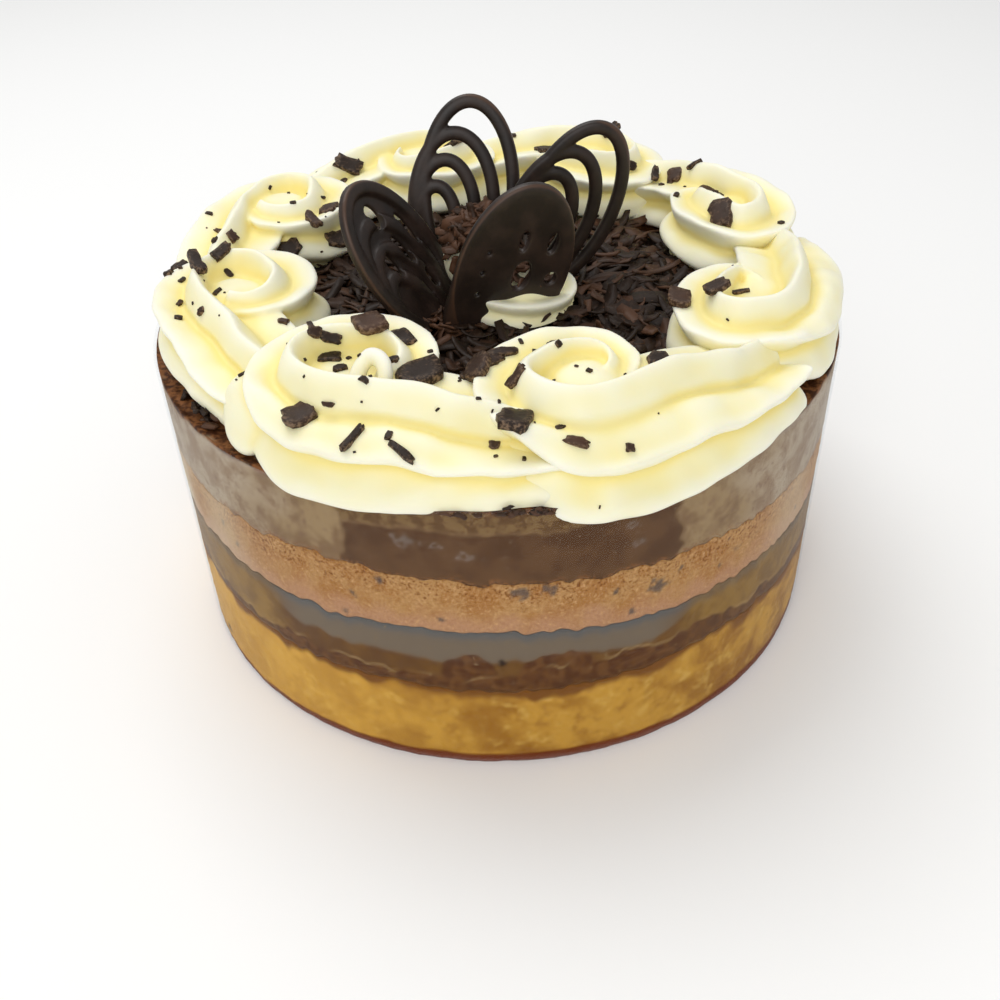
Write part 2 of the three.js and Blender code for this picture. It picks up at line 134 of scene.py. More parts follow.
def skin(name, grids, closed=False):
    """A mesh from grids of points in mm, each grid rings by points by xyz. Neighbouring rings are joined
    by quads; the end rings are closed by fans to their middles, or the last ring joins the first."""
    points, quads, fans, start = [], [], [], 0
    for grid in grids:
        rings, count = grid.shape[:2]
        index = start + np.arange(rings * count).reshape(rings, count)
        beside = np.roll(index, -1, axis=1)
        near, far = (index, np.roll(index, -1, axis=0)) if closed else (index[:-1], index[1:])
        near_beside, far_beside = np.roll(near, -1, axis=1), np.roll(far, -1, axis=1)
        quads.append(np.stack([near, near_beside, far_beside, far], axis=-1).reshape(-1, 4))
        points.append(grid.reshape(-1, 3))
        start += rings * count
        if not closed:
            foot, tip = np.full(count, start), np.full(count, start + 1)
            fans.append(np.stack([beside[0], index[0], foot], axis=-1))
            fans.append(np.stack([index[-1], beside[-1], tip], axis=-1))
            points.append(grid[[0, -1]].mean(axis=1))
            start += 2
    faces = [face for group in quads + fans for face in group.tolist()]
    mesh = bpy.data.meshes.new(name)
    mesh.from_pydata(np.concatenate(points) * MM, [], faces)
    mesh.shade_smooth()
    return mesh


def points_of(mesh):
    """The mesh's points as an array in mm."""
    flat = np.empty(len(mesh.vertices) * 3)
    mesh.vertices.foreach_get("co", flat)
    return flat.reshape(-1, 3) / MM


def points_and_turn(mesh):
    """The mesh's points in mm, and their bearings round the cake."""
    points = points_of(mesh)
    return points, np.arctan2(points[:, 1], points[:, 0])


def keep(mesh, **values):
    """Stores numbers for each point, which a material reads by their names."""
    for name, numbers in values.items():
        mesh.attributes.new(name, "FLOAT", "POINT").data.foreach_set("value", numbers.astype(np.float32))


def placed(name, mesh, finish):
    """Puts a finished mesh in the scene under its name and lets it move with the cake."""
    mesh.materials.clear()
    mesh.materials.append(finish.material)
    piece = bpy.data.objects.new(name, mesh)
    scene.collection.objects.link(piece)
    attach(piece, "root")
    return piece


def drum(name, low, high, dents, top_shares=(0.985, 0.94, 0.8, 0.5, 0.2), top_dents=None):
    """A closed disc: its outline runs from the middle of the underside out to the edge, up the side and
    back to the middle of the top, and is carried round the axis. The two edges are rounded off, dents
    tells how far the side lies back at each point, and top_dents how far the top does."""
    angle = full_turn(SIDE_COLUMNS)
    bottom, top = low(angle), high(angle)
    rise = np.linspace(0.0, 1.0, int(2.0 * (top.mean() - bottom.mean())) + 1)[:, None]
    height = mix(bottom, top, rise)
    edge = np.minimum(height - bottom, top - height)
    radius = CAKE_RADIUS - 0.2 * (1.0 - ease(edge / 0.8 + 0.3))
    side = polar(radius, angle, height)
    side -= polar(dents(side), angle, 0.0)

    def flat(shares, edge_height, side_radius):
        share = np.array(shares)[:, None]
        return polar(share * side_radius, angle, mix(edge_height.mean(), edge_height, share**2))

    below = flat((0.2, 0.5, 0.8, 0.94, 0.985), bottom, radius[0])
    above = flat(top_shares, top, radius[-1])
    if top_dents is not None:
        above[..., 2] -= top_dents(above)
    return skin(name, [np.concatenate([below, side, above])])


def paint(red, green, blue):
    """A picture colour, 0 to 255 a channel, as the linear colour that shaders take."""
    share = np.array([red, green, blue]) / 255.0
    linear = np.where(share <= 0.04045, share / 12.92, ((share + 0.055) / 1.055) ** 2.4)
    return (float(linear[0]), float(linear[1]), float(linear[2]), 1.0)


class Finish:
    """A material under construction: its node tree, its shader and short ways to add to them."""

    def __init__(self, name, **values):
        self.material = bpy.data.materials.new(name)
        self.material.use_nodes = True
        self.tree = self.material.node_tree
        self.shader = self.tree.nodes["Principled BSDF"]
        for socket, value in values.items():
            self.shader.inputs[socket.replace("_", " ")].default_value = value
        self.place = self.node("TexCoord", {}).outputs["Object"]

    def node(self, kind, inputs, **settings):
        """Adds a node and sets its inputs, or links those that are given another node's output."""
        made = self.tree.nodes.new("ShaderNode" + kind)
        for name, value in settings.items():
            setattr(made, name, value)
        for socket, value in inputs.items():
            if isinstance(value, bpy.types.NodeSocket):
                self.tree.links.new(value, made.inputs[socket])
            else:
                made.inputs[socket].default_value = value
        return made

    def grain(self, size, detail=3.0, rough=0.55):
        """Cloudy noise whose spots are about size mm across."""
        inputs = {"Vector": self.place, "Scale": 1.0 / (size * MM), "Detail": detail, "Roughness": rough}
        return self.node("TexNoise", inputs).outputs["Fac"]

    def value(self, name):
        """The number stored on the mesh under a name."""
        return self.node("Attribute", {}, attribute_name=name).outputs["Fac"]

    def between(self, value, low, high):
        """0 where value is at low or less, 1 at high or more, eased between."""
        inputs = {"Value": value, "From Min": low, "From Max": high}
        return self.node("MapRange", inputs, interpolation_type="SMOOTHSTEP").outputs["Result"]

    def sum(self, first, second, operation="ADD"):
        """Two numbers added, or joined by another operation."""
        return self.node("Math", {0: first, 1: second}, operation=operation).outputs["Value"]

    def blend(self, share, first, second):
        """A colour that goes from the first to the second as share goes from 0 to 1. Each is a picture
        colour or a node's output."""
        first, second = [paint(*end) if isinstance(end, tuple) else end for end in (first, second)]
        return self.node("Mix", {"Factor": share, 6: first, 7: second}, data_type="RGBA").outputs[2]

    def two_tone(self, noise, low, high, pair):
        """The first colour of a pair where the noise is at low, the second where it is at high."""
        return self.blend(self.between(noise, low, high), *pair)

    def coats(self, shade, *layers):
        """A colour with others laid over it in turn. A layer tells where it lies, as a stored number's
        name or a noise with its low and high, then its colour, then what weakens it: numbers or names."""
        for where, colour, *factors in layers:
            share = self.value(where) if isinstance(where, str) else self.between(*where)
            for factor in factors:
                factor = self.value(factor) if isinstance(factor, str) else factor
                share = self.sum(share, factor, "MULTIPLY")
            shade = self.blend(share, shade, colour)
        return shade

    def colour(self, shade, *layers):
        """Sets the shader's colour, with layers laid over it."""
        self.tree.links.new(self.coats(shade, *layers), self.shader.inputs["Base Color"])

    def roughness(self, share, low, high):
        """Lets the roughness run from low to high as share goes from 0 to 1."""
        made = self.node("MapRange", {"Value": share, "To Min": low, "To Max": high})
        self.tree.links.new(made.outputs["Result"], self.shader.inputs["Roughness"])

    def bump(self, height, depth, strength):
        """Lets a number raise the surface by up to depth mm in the shading."""
        made = self.node("Bump", {"Height": height, "Distance": depth * MM, "Strength": strength})
        self.tree.links.new(made.outputs["Normal"], self.shader.inputs["Normal"])


def crumb_dents(depth, seed):
    """Dents of a sponge's side, in mm: a slow swell and a fine crumb."""
    return lambda points: depth * (
        0.5 + 0.5 * mottle(points, 9.0, seed) + 0.35 * mottle(points, 2.6, seed + 1)
    )


def spotted(points, rows, ragged):
    """1 in ragged spots on the side, 0 away from them. Each row is a spot's bearing, height and size."""
    share = np.zeros(len(points))
    wobble = mottle(points, 1.6, 26)
    for bearing, height, size in rows:
        middle = polar(CAKE_RADIUS, math.radians(bearing), height)
        apart = np.linalg.norm(points - middle, axis=1) + ragged * size * wobble
        share = np.maximum(share, 1.0 - ease((apart - 0.4 * size) / size))
    return share


base_mesh = drum(
    "base_sponge_crumb", np.zeros_like, meets(BASE_SPONGE_TOP, -LAYER_GAP), crumb_dents(0.16, 3)
)
spots, turn = points_and_turn(base_mesh)
rightwards = ease(0.5 + 0.6 * np.cos(turn + math.radians(50.0)))
foot_line = 0.4 + 1.9 * rightwards + 0.25 * mottle(spots, 12.0, 5)
top_line = meeting_height(BASE_SPONGE_TOP, turn) - spots[:, 2] + 1.2 * mottle(spots, 8.0, 6)
keep(
    base_mesh,
    # darker in a reddish line along the foot, thicker on the right
    foot=1.0 - ease((spots[:, 2] - foot_line) / 0.7),
    edge=1.0 - ease((top_line - 0.4) / 2.4),
    speck=spotted(spots, BASE_SPECKS, 0.4),
    # painted light: the left side of the sponge is made lighter, as if lit from the left
    bright=0.5 * ease((np.cos(turn + math.radians(160.0)) - 0.3) / 0.6),
)
golden = Finish("golden_sponge", Roughness=0.72, Specular_IOR_Level=0.1)
crumb = golden.grain(0.8, 4.0, 0.7)
cloud = golden.grain(13.0, 4.0, 0.6)
stain = golden.grain(5.0, 4.0, 0.6)
golden.colour(
    golden.two_tone(cloud, 0.38, 0.62, SPONGE_GOLD),
    ((stain, 0.52, 0.70), SPONGE_SOAKED, 0.6),
    ((stain, 0.46, 0.32), SPONGE_PALE, 0.5),
    ((crumb, 0.60, 0.76), SPONGE_GLINT, 0.7),
    ((crumb, 0.42, 0.28), SPONGE_PORE, 0.6),
    ("bright", SPONGE_BRIGHT),
    ("edge", SPONGE_EDGE),
    ("foot", SPONGE_SYRUP),
    ("speck", SPECK_COLOUR),
)
golden.bump(crumb, 0.3, 0.35)
base_sponge = placed("base_sponge_crumb", base_mesh, golden)
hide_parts("base_sponge")


# The lower mousse is a band of brown chocolate mousse, poured on the base. Just under the
# sponge, where the film stands off it, a painted reflection of the film makes it grey and milky;
# lower down it lies tight and brown, with a rough, damp edge along the base that rises in a few domes.
LOWER_MOUSSE_TOP = 38.0
MOUSSE_TIGHT = ((94, 60, 24), (110, 74, 28))
MOUSSE_OLIVE = ((122, 88, 36), (144, 108, 46))
MOUSSE_DAMP = ((78, 42, 14), (106, 66, 29))
# The milky and grey colours are a painted reflection of the film.
MOUSSE_MILKY = (114, 99, 82)
MOUSSE_GREY = (92, 92, 92)
MOUSSE_SMEAR = (176, 146, 98)
MOUSSE_FROTH = (150, 124, 88)
MOUSSE_SPECKS = ((-91.0, 30.2, 0.9),)
STANDS_OFF = ((-95.0, 27.0), (38.0, 24.0), (150.0, 28.0))
DOMES = ((-96.0, 4.4, 10.6), (-82.5, 6.0, 10.6), (55.0, 5.0, 9.5), (131.0, 6.0, 10.0))
DOME_FOOT = 5.0


def mousse_dents(depth, seed):
    """Dents of poured mousse, in mm: slow swells and a few shallow bubbles."""
    return lambda points: depth * (0.5 + 0.5 * mottle(points, 16.0, seed)) + 0.05 * np.maximum(
        0.0, mottle(points, 3.0, seed + 1) - 0.6
    )


def off_bearing(turn, bearing):
    """How many degrees each angle lies off a bearing, to either side."""
    return np.degrees(np.arccos(np.cos(turn - math.radians(bearing))))


lower_mesh = drum(
    "lower_mousse_band",
    meets(BASE_SPONGE_TOP, LAYER_GAP),
    meets(LOWER_MOUSSE_TOP, -LAYER_GAP),
    mousse_dents(0.1, 13),
)
spots, turn = points_and_turn(lower_mesh)
under = meeting_height(LOWER_MOUSSE_TOP, turn) - spots[:, 2]
over = spots[:, 2] - meeting_height(BASE_SPONGE_TOP, turn)
stands_off = np.full(len(spots), 0.12)
for bearing, half_width in STANDS_OFF:
    stands_off = np.maximum(stands_off, 1.0 - ease((off_bearing(turn, bearing) - half_width) / 11.0))
milky_line = 1.0 + 5.6 * stands_off + 0.8 * mottle(spots * (1.0, 1.0, 0.4), 14.0, 14)
thicker = ease((np.degrees(turn) + 98.0) / 12.0) * (1.0 - ease((np.degrees(turn) + 64.0) / 24.0))
upright = spots * (1.0, 1.0, 0.2)
smear_line = 3.2 + 3.0 * thicker + 0.9 * mottle(upright, 11.0, 15) + 0.5 * mottle(upright, 3.2, 16)
broken = ease(0.5 + 0.7 * mottle(upright, 9.0, 17))
damp = ease((smear_line - over) / 0.6)
for bearing, half_width, peak in DOMES:
    across = off_bearing(turn, bearing) / half_width
    arch = DOME_FOOT + (peak - DOME_FOOT) * np.sqrt(np.clip(1.0 - across**2, 0.0, 1.0))
    damp = np.maximum(damp, ease((1.0 - across) / 0.1) * ease((arch - over) / 0.5))
keep(
    lower_mesh,
    # painted reflection of the film: grey and milky just under the sponge
    grey=mix(0.3, 1.0, stands_off) * (1.0 - ease((under - 0.4) / 2.6)),
    milky=stands_off * (1.0 - ease((under - milky_line) / 1.6)),
    tight=ease(1.4 * stands_off),
    smear=broken * np.exp(-(((over - smear_line) / 0.3) ** 2)),
    damp=damp * ease((over + 0.5) / 1.5),
    speck=spotted(spots, MOUSSE_SPECKS, 0.4),
)
brown = Finish("brown_mousse", Roughness=0.55, Specular_IOR_Level=0.1)
pore = brown.grain(0.9, 4.0, 0.65)
cloud = brown.grain(6.0, 4.0, 0.65)
patch = brown.grain(2.2, 4.0, 0.65)
brown.colour(
    brown.two_tone(cloud, 0.40, 0.62, MOUSSE_OLIVE),
    ("tight", brown.two_tone(cloud, 0.40, 0.62, MOUSSE_TIGHT)),
    ("milky", MOUSSE_MILKY),
    ("grey", MOUSSE_GREY, 0.85),
    ("damp", brown.two_tone(patch, 0.42, 0.62, MOUSSE_DAMP), 0.9),
    ("smear", MOUSSE_SMEAR, 0.55),
    ((pore, 0.62, 0.74), MOUSSE_FROTH),
    ("speck", SPECK_COLOUR),
)
brown.bump(pore, 0.1, 0.25)
lower_mousse = placed("lower_mousse_band", lower_mesh, brown)
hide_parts("lower_mousse")


# The upper sponge is a thinner disc of orange-tan sponge between the two mousses, with loose
# brown crumbs along its cut top edge and a few dark pits where air stayed trapped. Away from the
# front, a pale veil is painted over it as a reflection in the film.
UPPER_SPONGE_TOP = 51.5
SPONGE_ORANGE = ((172, 120, 66), (185, 139, 86))
SPONGE_PINK = (186, 138, 102)
SPONGE_LIGHT = (208, 164, 112)
SPONGE_BROWN = (128, 76, 34)
SPONGE_PIT = (92, 80, 74)
# the colour of the painted reflection of the film, a pale veil
SPONGE_VEIL = (220, 204, 176)
SMALL_PITS = 40
SMALL_PIT_LIMITS = ((-180.0, 180.0), (39.0, 51.0), (0.3, 0.8))
PITS = (
    (-88.0, 49.0, 1.5), (-84.0, 49.3, 1.1), (-67.0, 44.0, 1.8), (-113.0, 45.0, 0.8), (25.0, 47.0, 1.6),
    (70.0, 43.0, 1.2), (118.0, 48.5, 1.5), (165.0, 44.0, 1.1), (200.0, 47.0, 1.3),
)

upper_mesh = drum(
    "upper_sponge_crumb",
    meets(LOWER_MOUSSE_TOP, LAYER_GAP),
    meets(UPPER_SPONGE_TOP, -LAYER_GAP),
    crumb_dents(0.16, 23),
)
spots, turn = points_and_turn(upper_mesh)
under = meeting_height(UPPER_SPONGE_TOP, turn) - spots[:, 2]
over = spots[:, 2] - meeting_height(LOWER_MOUSSE_TOP, turn)
draw = np.random.default_rng(27)
scattered = np.stack([draw.uniform(low, high, SMALL_PITS) for low, high in SMALL_PIT_LIMITS], axis=-1)
# painted reflection of the film: a pale veil away from the front
veil = ease((off_bearing(turn, -88.0) - 34.0) / 34.0)
keep(
    upper_mesh,
    crumbs=1.0 - 0.8 * ease((under - 2.0 - 1.2 * mottle(spots, 6.0, 24)) / 5.0),
    hem=1.0 - ease((over - 1.0 - 1.2 * mottle(spots, 7.0, 25)) / 6.0),
    pit=spotted(spots, np.concatenate([PITS, scattered]), 0.5),
    veil=veil * (0.6 + 0.3 * mottle(spots * (1.0, 1.0, 0.5), 16.0, 28)),
)
orange = Finish("orange_sponge", Roughness=0.75, Specular_IOR_Level=0.1)
crumb = orange.grain(0.7, 4.0, 0.7)
cloud = orange.grain(7.0, 5.0, 0.65)
orange.colour(
    orange.two_tone(cloud, 0.40, 0.60, SPONGE_ORANGE),
    ("hem", SPONGE_PINK),
    ((crumb, 0.53, 0.70), SPONGE_LIGHT),
    ((crumb, 0.49, 0.37), SPONGE_BROWN, "crumbs"),
    ("pit", SPONGE_PIT, 0.85),
    ("veil", SPONGE_VEIL),
)
orange.bump(crumb, 0.45, 0.8)
upper_sponge = placed("upper_sponge_crumb", upper_mesh, orange)
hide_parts("upper_sponge")


# The upper mousse is the dark chocolate mousse that fills the collar to its rim. In places it
# looks dark and even; elsewhere a painted reflection of the film makes it milky and blotchy, and
# its top edge has dried to a darker brown.
CAKE_TOP = 69.0
# The two haze colours are a painted reflection of the film.
MOUSSE_HAZE = ((148, 123, 96), (174, 155, 130))
WARM_HAZE = ((126, 98, 68), (154, 128, 92))
HAZE_FLECK = (122, 92, 72)
HAZE_PORE = (110, 82, 62)
MOUSSE_DARK = ((84, 56, 33), (98, 68, 42))
DARK_PORE = (132, 110, 90)
BUBBLE_RIM = (134, 122, 112)
MOUSSE_ARC = ((98, 70, 42), (126, 98, 62))
ARC_PORE = (92, 60, 34)
FALLEN_CRUMB = (140, 92, 52)
MOUSSE_CRUST = ((62, 34, 18), (128, 82, 48))
# bearings and widths of the places where the painted reflection of the film is left off
PRESSED = ((-89.0, 49.0), (28.0, 56.0), (140.0, 62.0))
BUBBLES = (
    (-104.0, 60.6, 1.4), (-99.5, 60.2, 0.8), (-95.5, 58.2, 1.1), (-71.0, 56.9, 0.9), (-72.0, 61.2, 0.8),
    (28.0, 59.0, 1.3), (52.0, 57.5, 1.0), (140.0, 60.5, 1.2), (165.0, 58.0, 0.9),
)

top_mousse_mesh = drum(
    "upper_mousse_band",
    meets(UPPER_SPONGE_TOP, LAYER_GAP),
    lambda angle: np.full_like(angle, CAKE_TOP),
    mousse_dents(0.1, 33),
    top_shares=tuple(np.linspace(0.995, 0.5, 58)) + (0.3, 0.1),
    top_dents=lambda points: 0.25 + 0.2 * mottle(points, 7.0, 35) + 0.1 * mottle(points, 2.5, 36),
)
spots, turn = points_and_turn(top_mousse_mesh)
span = np.hypot(spots[:, 0], spots[:, 1])
over = spots[:, 2] - meeting_height(UPPER_SPONGE_TOP, turn)
edge_wobble = 0.8 * mottle(spots, 9.0, 37) + 0.4 * mottle(spots, 3.0, 47)
wide_wobble = 3.0 * mottle(spots, 14.0, 29)
pressed = np.zeros(len(spots))
beside = np.zeros(len(spots))
# Where the painted reflection of the film is left off, and a warmer edge of that reflection beside them.
for bearing, width in PRESSED:
    past = off_bearing(turn, bearing) - 0.5 * width
    pressed = np.maximum(pressed, 1.0 - ease((past - edge_wobble) / 1.2 + 0.5))
    beside = np.maximum(beside, 1.0 - ease((past - 7.0 - wide_wobble) / 16.0))
arc_line = 62.8 + 0.7 * mottle(spots * (1.0, 1.0, 0.3), 20.0, 38) + 0.4 * mottle(spots, 3.0, 30)
above_arc = ease((spots[:, 2] - arc_line) / 1.2)
bubble = np.zeros(len(spots))
for bearing, height, size in BUBBLES:
    flattened = (spots - polar(CAKE_RADIUS, math.radians(bearing), height)) * (0.6, 0.6, 1.0)
    apart = np.linalg.norm(flattened, axis=1) + 0.5 * size * mottle(spots, 1.8, 34)
    bubble = np.maximum(bubble, np.exp(-(((apart - 0.5 * size) / (0.4 * size)) ** 2)))
dried = ease((spots[:, 2] - 67.6 - 0.5 * mottle(spots, 6.0, 39)) / 0.8)
keep(
    top_mousse_mesh,
    beside=beside,
    pressed=pressed * (1.0 - above_arc),
    arc=pressed * above_arc,
    crumbs=0.8 * (1.0 - ease((over - 0.3 - 0.6 * mottle(spots, 5.0, 40)) / 1.2)),
    bubble=bubble,
    dried=np.where(span < 74.4, 1.0, dried),
)
dark = Finish("dark_mousse", Roughness=0.5, Specular_IOR_Level=0.1)
pore = dark.grain(0.7, 4.0, 0.65)
cloud = dark.grain(7.0, 5.0, 0.65)
fleck = dark.grain(2.0, 4.0, 0.65)
# painted reflection of the film: a milky, blotchy haze
haze = dark.coats(
    dark.two_tone(cloud, 0.38, 0.60, MOUSSE_HAZE),
    ("beside", dark.two_tone(cloud, 0.38, 0.60, WARM_HAZE)),
    ((fleck, 0.54, 0.70), HAZE_FLECK, 0.55),
    ((pore, 0.58, 0.68), HAZE_PORE, 0.5),
)
calm = dark.coats(
    dark.two_tone(cloud, 0.40, 0.62, MOUSSE_DARK),
    ((pore, 0.60, 0.72), DARK_PORE, 0.7),
    ("bubble", BUBBLE_RIM, 0.5),
)
warm = dark.coats(dark.two_tone(fleck, 0.42, 0.58, MOUSSE_ARC), ((pore, 0.58, 0.68), ARC_PORE))
dark.colour(
    haze,
    ("pressed", calm),
    ("arc", warm),
    ((pore, 0.46, 0.58), FALLEN_CRUMB, "crumbs"),
    ("dried", dark.two_tone(fleck, 0.40, 0.60, MOUSSE_CRUST)),
)
dark.bump(pore, 0.1, 0.25)
upper_mousse = placed("upper_mousse_band", top_mousse_mesh, dark)
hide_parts("upper_mousse")


# The collar is a strip of clear, stiff film wound once round the cake. Its two ends overlap at
# the back, and it clings to the cake by itself.
FILM_RADIUS = 75.85
FILM_WALL = 0.22
FILM_FOOT = 0.8
FILM_TOP = 69.0
FILM_CLEAR = (0.985, 0.99, 0.995, 1.0)


def film_strip():
    """A thin upright rectangle carried round a slow spiral that starts and ends at the back: its radius
    grows by one wall and a hair over the last few degrees, so that the end lies over the start."""
    turn = np.radians(np.linspace(84.0, 460.0, 560))[:, None]
    lift = ease((turn - math.radians(430.0)) / math.radians(14.0))
    middle = FILM_RADIUS - 0.12 + 0.26 * lift
    rim = FILM_TOP + 0.12 * np.sin(3.0 * turn) + 0.06 * np.sin(8.0 * turn)
    levels = np.linspace(0.0, 1.0, 24)
    out = np.repeat([0.5 * FILM_WALL, -0.5 * FILM_WALL], 24)
    share = np.concatenate([levels, levels[::-1]])
    return polar(middle + out, turn, mix(FILM_FOOT, rim, share))


film_mesh = skin("clear_collar", [film_strip()[:, ::-1]])
film = Finish("clear_film")
film.tree.nodes.remove(film.shader)
clear = film.node("BsdfTransparent", {"Color": FILM_CLEAR})
gloss = film.node("BsdfGlossy", {"Roughness": 0.06})
slant = film.node("LayerWeight", {"Blend": 0.5})
glancing = film.sum(slant.outputs["Facing"], 4.0, "POWER")
shine = film.sum(film.sum(glancing, 0.13, "MULTIPLY"), 0.004)
both = film.node("MixShader", {"Fac": shine, 1: clear.outputs["BSDF"], 2: gloss.outputs["BSDF"]})
film.tree.links.new(both.outputs["Shader"], film.tree.nodes["Material Output"].inputs["Surface"])
collar = placed("clear_collar", film_mesh, film)
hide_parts("collar")


# The cream swirls are stiff whipped cream piped with a large star nozzle: each rope starts in a
# small curl, runs inward, back and out to the rim, and ends in a tail under the next swirl.
SWIRLS = 8
FIRST_SWIRL_ANGLE = 199.0
SWIRL_RING = 57.0
SWIRL_LOOP = 12.0
INNER_LOOP = 10.4
FIRST_LOOP = 4.2
LOOP_SHARE = 0.58
TAIL_SHARE = 0.42
ROPE_RADIUS = 10.4
ROPE_FLUTES = 6
FLUTE_DEPTH = 0.42
CREST_ROUND = 0.15
END_ROUND = 0.02
LIP_TROUGH = 0.2
TAIL_LENGTH = 37.0
TAIL_SPREAD = 0.38
SWIRL_STRETCH = 1.15
SWIRL_REACH = (-4.0, -0.6, 0.4, -2.4, -4.0, -4.0, -4.0, -4.5)
SWIRL_DROOP = (0.5, 5.0, 7.0, 4.5, 1.5, 1.5, 1.5, 1.0)
SWIRL_BULK = (0.97, 1.03, 1.0, 0.95, 0.92, 0.9, 0.9, 0.93)
SWIRL_EYE = (3.0, 1.0, 3.0, 1.0, 1.0, 1.0, 2.0, 3.0)
SWIRL_SHIFT = (0.0, 0.0, -3.0, 0.0, 0.0, 0.0, 0.0, 0.0)
SWIRL_TIGHT = (1.0, 1.0, 0.8, 0.62, 0.62, 0.7, 0.8, 1.0)
SWIRL_START = (12.0, 11.0, 11.0, 9.0, 9.0, 9.0, 11.0, 12.0)
SWIRL_TURN = (4.0, 2.0, -2.0, 6.0, 0.0, 10.0, 5.0, 0.0)
EYE_MOUND = 12.5
LIP_SWIRL = 1
LIP = (229.0, 67.0, 75.0, 8.0)
CURL = (248.0, 60.5, 84.0, 4.2)
CLEAR_RADIUS = 76.3
CREAM_BODY = ((248, 243, 207), (247, 240, 194))
# The next two are a painted highlight on the crests and a painted yellow shade in the creases.
CREAM_CREST = (249, 247, 232)
CREAM_DEEP = (247, 232, 156)


def fluted_rope(t, centre, radius, spread, flutes, depth, first, twist, trough=0.0):
    """A star carried along a path: from each rounded ridge the radius falls to a hollow and rises to the
    next, as a power of the distance from the hollow's middle. Depth is the hollows' share of the radius,
    less on the under side. The first ridge stands at angle first; the star turns slowly by twist and is
    widened sideways by spread. The first outer hollow is deeper by the share trough, most of all behind
    its outer ridge, which is left standing as a lip."""
    ahead = np.gradient(centre, axis=0)
    ahead /= np.linalg.norm(ahead, axis=1, keepdims=True)
    side = np.cross(ahead, (0.0, 0.0, 1.0))
    side /= np.linalg.norm(side, axis=1, keepdims=True)
    rise = np.cross(side, ahead)
    around = full_turn(flutes * 24)
    flute = flutes * around / (2.0 * np.pi)
    fall = 1.0 - np.abs(2.0 * (flute % 1.0) - 1.0) ** 1.6
    hollow = (np.hypot(fall, CREST_ROUND) - CREST_ROUND) / (math.hypot(1.0, CREST_ROUND) - CREST_ROUND)
    to_end = np.minimum(t, 1.0 - t)
    ends = np.sqrt(np.clip(1.0 - (1.0 - to_end / END_ROUND) ** 2, 0.0, 1.0))
    ends = np.where(to_end > END_ROUND, 1.0, ends)
    turn = first + around + twist * (t[:, None] - 0.8) + 0.06 * np.sin(17.0 * t[:, None] + 9.0 * first)
    deep = depth * mix(1.0, 0.35, ease((0.15 - np.cos(turn)) / 0.5))
    behind_lip = np.clip(1.0 - ((flute - 0.7) / 0.28) ** 2, 0.0, 1.0) ** 2
    behind_lip = trough * ease((t[:, None] - 0.44) / 0.1) * behind_lip
    reach = (radius * np.maximum(ends, 0.02))[:, None] * (1.0 - deep * hollow - behind_lip)
    up = rise[:, None] * (reach * np.cos(turn))[..., None]
    across = side[:, None] * (spread[:, None] * reach * np.sin(turn))[..., None]
    return centre[:, None] + up + across


def ball(radius, centre):
    """A round mound: rings of a sphere from its south pole to its north pole."""
    tilt = np.linspace(-0.48 * np.pi, 0.48 * np.pi, 17)[:, None]
    return polar(radius * np.cos(tilt), full_turn(32), radius * np.sin(tilt)) + centre


def curl_hook():
    """A thin rope bent to a hook: five sixths of an oval that leans back against the rope's start, with
    both ends sunk in it."""
    bearing, reach, height, size = CURL
    out = polar(1.0, math.radians(bearing), 0.0)
    along = np.array([-out[1], out[0], 0.0])
    slope = -0.64 * out + (0.0, 0.0, 0.77)
    t = np.linspace(0.0, 1.0, 60)
    turn = np.radians(mix(-60.0, 240.0, t))[:, None]
    middle = reach * out + (0.0, 0.0, height + 0.6)
    centre = middle + 0.66 * size * np.cos(turn) * along + 0.95 * size * np.sin(turn) * slope
    return fluted_rope(t, centre, np.full(60, 0.36 * size), np.ones(60), 4, 0.0, 0.0, 0.0)


